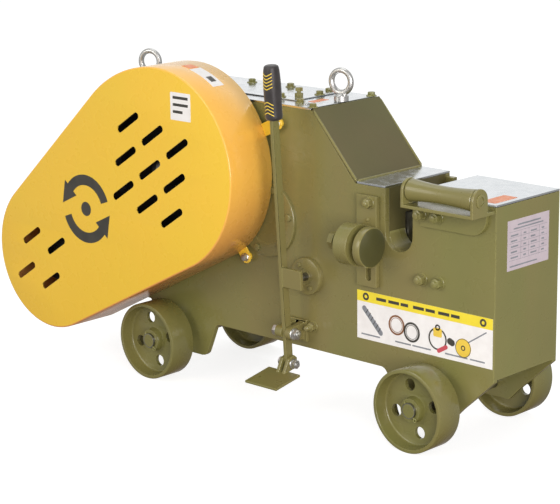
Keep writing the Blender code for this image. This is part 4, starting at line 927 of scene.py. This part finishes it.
def bent_label(angles, depths, low, high):
    """A label on the guard's large arc: its four corners' section carried round that circle."""
    rows = []
    for a in np.radians(np.linspace(*angles, 25)):
        rows.append([(INPUT[0] + r * math.cos(a), y, INPUT[1] + r * math.sin(a))
                     for r, y in ((low, depths[0]), (high, depths[0]), (high, depths[1]),
                                  (low, depths[1]))])
    return swept(rows)


def labels():
    proud = 0.0003
    # A turning mark on the guard: two arrows chasing round the drive.
    cx, cz = -0.963, 0.352
    y = GUARD_FACE_Y
    mark = [plate(circle(cx, cz, 0.015, 40), y - 0.0002, y)]
    for start in (20, 200):
        band = np.vstack([arc(cx, cz, 0.072, start, start + 122, 40),
                          arc(cx, cz, 0.050, start + 122, start, 40)])
        mark.append(plate(band, y - 0.0002, y))
        a = math.radians(start + 120)
        c, s = math.cos(a), math.sin(a)
        head = [(cx + 0.083 * c, cz + 0.083 * s), (cx + 0.038 * c, cz + 0.038 * s),
                (cx + 0.058 * c - 0.044 * s, cz + 0.058 * s + 0.044 * c)]
        mark.append(plate(head, y - 0.0003, y))
    piece("turning_mark", mark, PRINT_DARK, "frame")

    face = [plate(rounded_box((-0.702, -0.646), (0.569, 0.624), 0.0015), y - proud, y)]
    piece("guard_face_label", face, VINYL_WHITE, "frame")
    lines = bars([(-0.695, -0.653, 0.611, 0.6165), (-0.695, -0.653, 0.597, 0.6025),
                  (-0.695, -0.668, 0.583, 0.5885)], y - proud - 0.0002, y - proud, "XZ")
    piece("guard_face_label_lines", lines, PRINT_DARK, "frame")

    r = GUARD_BIG_R
    piece("guard_side_label", [bent_label((57, 77), (-0.074, -0.044), r, r + proud)], VINYL_WHITE,
          "frame")
    piece("guard_side_label_mark", [bent_label((61, 66), (-0.066, -0.052), r + proud, r + proud + 0.0002)],
          PRINT_DARK, "frame")
    piece("guard_side_dot", [bent_label((78, 84.5), (-0.069, -0.045), r, r + proud)], VINYL_ORANGE,
          "frame")

    # The data label on the end face: a ruled table with nothing written in it.
    x = 0.0004
    v0, v1, u0, u1 = 0.348, 0.441, 0.034, 0.160
    piece("data_label", [plate([(u0, v0), (u1, v0), (u1, v1), (u0, v1)], x, x + proud, "YZ")],
          VINYL_LILAC, "frame")
    rules = [(u0 + 0.006, u1 - 0.006, v, v + 0.0005) for v in np.linspace(v0 + 0.018, v1 - 0.022, 6)]
    rules += [(u, u + 0.0005, v0 + 0.018, v1 - 0.022) for u in (u0 + 0.040, u0 + 0.064, u0 + 0.096)]
    entries = []
    for i, v in enumerate(np.linspace(v0 + 0.022, v1 - 0.030, 5)):
        entries += [(u0 + 0.010, u0 + 0.032 - 0.003 * (i % 2), v, v + 0.0028),
                    (u0 + 0.048, u0 + 0.056, v, v + 0.0028),
                    (u0 + 0.070, u0 + 0.088 - 0.004 * (i % 2), v, v + 0.0028),
                    (u0 + 0.103, u0 + 0.111, v, v + 0.0028)]
    entries += [(u0 + 0.030, u0 + 0.100, v1 - 0.012, v1 - 0.009),
                (u0 + 0.018, u0 + 0.108, v1 - 0.018, v1 - 0.0155),
                (u0 + 0.008, u0 + 0.090, v0 + 0.006, v0 + 0.0085)]
    piece("data_label_print", bars(rules + entries, x + proud, x + proud + 0.0002, "YZ"), PRINT_GREY,
          "frame")

    # The long label on the front: a yellow band over four plain work signs.
    u0, u1, v0, v1 = -0.327, -0.003, 0.171, 0.266
    piece("front_label", [plate([(u0, v0), (u1, v0), (u1, v1), (u0, v1)], -proud, 0.0, "XZ")],
          VINYL_WHITE, "frame")
    piece("front_label_band", [plate([(u0, 0.245), (u1, 0.245), (u1, v1), (u0, v1)],
                                     -proud - 0.0002, -proud, "XZ")], VINYL_YELLOW, "frame")
    print_y = (-proud - 0.0004, -proud)
    dark = bars([(u0 + 0.048 + 0.030 * k, u0 + 0.048 + 0.030 * k + w, 0.2525, 0.2585)
                 for k, w in enumerate((0.024, 0.026, 0.018, 0.026, 0.022, 0.026, 0.020))], *print_y, "XZ")
    for cx in (u0 + 0.022, u1 - 0.022):
        dark.append(plate(circle(cx, 0.2555, 0.0075, 32), *print_y, "XZ", [circle(cx, 0.2555, 0.0035, 24)]))
    over_y = (print_y[0] - 0.0002, print_y[0])

    def slanted(x0, z0, x1, z1, radius, depth=print_y):
        return plate(stadium(x0, z0, x1, z1, radius), *depth, "XZ")

    def loop(cx, cz, outer, inner, depth=print_y, count=40):
        return plate(circle(cx, cz, outer, count), *depth, "XZ", [circle(cx, cz, inner, count)])

    # A ribbed bar, two coils, a pair of cutter rolls on a yellow block, and a wheel with a handle.
    grey = [slanted(-0.309, 0.232, -0.268, 0.190, 0.0052), slanted(-0.058, 0.212, -0.018, 0.238, 0.0012)]
    dark += [slanted(-0.3045 + 0.0062 * k, 0.2235 - 0.0064 * k, -0.2995 + 0.0062 * k,
                     0.2310 - 0.0064 * k, 0.0007, over_y) for k in range(6)]
    rust = [loop(-0.2290, 0.2130, 0.0195, 0.0160), loop(-0.2290, 0.2130, 0.0145, 0.0135)]
    dark += [loop(-0.1920, 0.2060, 0.0195, 0.0155), loop(-0.1920, 0.2060, 0.0140, 0.0130),
             loop(-0.1300, 0.2050, 0.0215, 0.0185), loop(-0.1300, 0.2270, 0.0060, 0.0030, over_y),
             slanted(-0.101, 0.206, -0.096, 0.204, 0.0065), loop(-0.070, 0.1990, 0.0180, 0.0168, over_y),
             loop(-0.070, 0.1990, 0.0050, 0.0030, over_y)]
    yellow = [plate(rounded_box((-0.1400, -0.1200), (0.2090, 0.2260), 0.003), *over_y, "XZ"),
              plate(circle(-0.070, 0.1990, 0.0180, 48), *print_y, "XZ")]
    red = [slanted(-0.1270, 0.1830, -0.1100, 0.1930, 0.0040, over_y)]
    captions = [(u, u + w, v, v + 0.0028) for u, w, v in (
        (-0.316, 0.046, 0.1795), (-0.232, 0.038, 0.1795), (-0.190, 0.044, 0.1795),
        (-0.112, 0.052, 0.1795), (-0.054, 0.034, 0.1795))]
    piece("front_label_signs_dark", dark, PRINT_DARK, "frame")
    piece("front_label_signs_grey", grey + bars(captions, *print_y, "XZ"), PRINT_GREY, "frame")
    piece("front_label_signs_brown", rust, PRINT_RUST, "frame")
    piece("front_label_signs_yellow", yellow, GRIP_YELLOW, "frame")
    piece("front_label_signs_red", red, PRINT_RED, "frame")

    piece("table_label", [plate(rounded_box((-0.043, -0.012), (0.013, 0.080), 0.002), TABLE_Z,
                                TABLE_Z + proud, "XY")], VINYL_ORANGE, "frame")
    piece("top_label", [plate(rounded_box((-0.500, -0.482), (0.052, 0.096), 0.002), TOP_Z,
                              TOP_Z + proud, "XY")], VINYL_ORANGE, "frame")


housing()
belt_guard()
wheels()
eye_bolt("eye_bolt_left", *LEFT_EYE)
eye_bolt("eye_bolt_right", *RIGHT_EYE)
fasteners()
covers()
bar_stop()
feed_roller()
lever_grip()
lever_hardware()
motor()
plain_nodes()
labels()

# ---- Stage -----------------------------------------------------------------------------------------
scene = bpy.context.scene
scene.view_settings.view_transform = "Standard"

made, tree, shader, place = begin("pale_floor", 0.9)
tone = blend(tree, cloud(tree, place, 0.4, 0.0, 1.0), "#b4b4b3", "#acacab")
tree.links.new(tone, shader.inputs["Base Color"])
shader.inputs["Emission Color"].default_value = linear("#ffffff")
shader.inputs["Emission Strength"].default_value = 0.80
half = 40.0
ground = bpy.data.meshes.new("floor")
ground.from_pydata([(-half, -half, 0), (half, -half, 0), (half, half, 0), (-half, half, 0)], [],
                   [(0, 1, 2, 3)])
ground.materials.append(made)
floor = bpy.data.objects.new("floor", ground)
floor.visible_diffuse = False
floor.visible_glossy = False
scene.collection.objects.link(floor)

# The room: white from just below the horizon upwards, brownish below, and brightest behind left.
world = bpy.data.worlds.new("studio")
scene.world = world
world.use_nodes = True
sky = world.node_tree
way = put(sky, "TexCoord").outputs["Generated"]
up = put(sky, "SeparateXYZ", {0: way}).outputs["Z"]
share = put(sky, "MapRange", {"Value": up, "From Min": -0.75, "From Max": -0.05}).outputs[0]
tone = blend(sky, share, "#a98f78", "#ffffff")
behind = put(sky, "VectorMath", {0: way, 1: (-0.62, 0.72, 0.30)}, operation="DOT_PRODUCT")
level = put(sky, "MapRange", {"Value": behind.outputs["Value"], "From Min": 0.58, "From Max": 0.92,
                              "To Min": 0.46, "To Max": 1.05}).outputs[0]
backdrop = sky.nodes["Background"]
sky.links.new(tone, backdrop.inputs["Color"])
sky.links.new(level, backdrop.inputs["Strength"])


def softbox(name, place, target, size, power, colour="#ffffff"):
    lamp = bpy.data.lights.new(name, "AREA")
    lamp.shape, lamp.size, lamp.size_y = "RECTANGLE", *size
    lamp.energy = power
    lamp.color = linear(colour)[:3]
    holder = bpy.data.objects.new(name, lamp)
    holder.location = place
    aim = Vector(target) - Vector(place)
    holder.rotation_euler = aim.to_track_quat("-Z", "Y").to_euler()
    scene.collection.objects.link(holder)


softbox("key_left", (-1.1, -4.1, 2.0), (0, 0, 0.3), (2.4, 2.4), 62, "#fffaf2")
softbox("fill_right", (3.2, -2.1, 1.0), (0.2, 0, 0.3), (2.0, 1.8), 112, "#fdf8f8")
softbox("overhead", (-0.6, 0.2, 3.2), (-0.2, 0, 0.4), (2.0, 1.6), 14)

# ---- Camera ----------------------------------------------------------------------------------------
yaw, pitch, roll = (math.radians(a) for a in (-43.419, -13.793, -0.642))
forward = Vector((math.sin(yaw) * math.cos(pitch), math.cos(yaw) * math.cos(pitch), math.sin(pitch)))
right = forward.cross(Vector((0, 0, 1))).normalized()
upward = right.cross(forward)
side_way = math.cos(roll) * right + math.sin(roll) * upward
top_way = math.cos(roll) * upward - math.sin(roll) * right
lens = bpy.data.cameras.new("camera")
lens.lens, lens.sensor_width = 126.8, 36.0
lens.clip_end = 200.0
camera = bpy.data.objects.new("camera", lens)
camera.matrix_world = Matrix((side_way, top_way, -forward)).transposed().to_4x4()
camera.location = (2.6921, -2.8348, 1.2343)
scene.collection.objects.link(camera)
scene.camera = camera
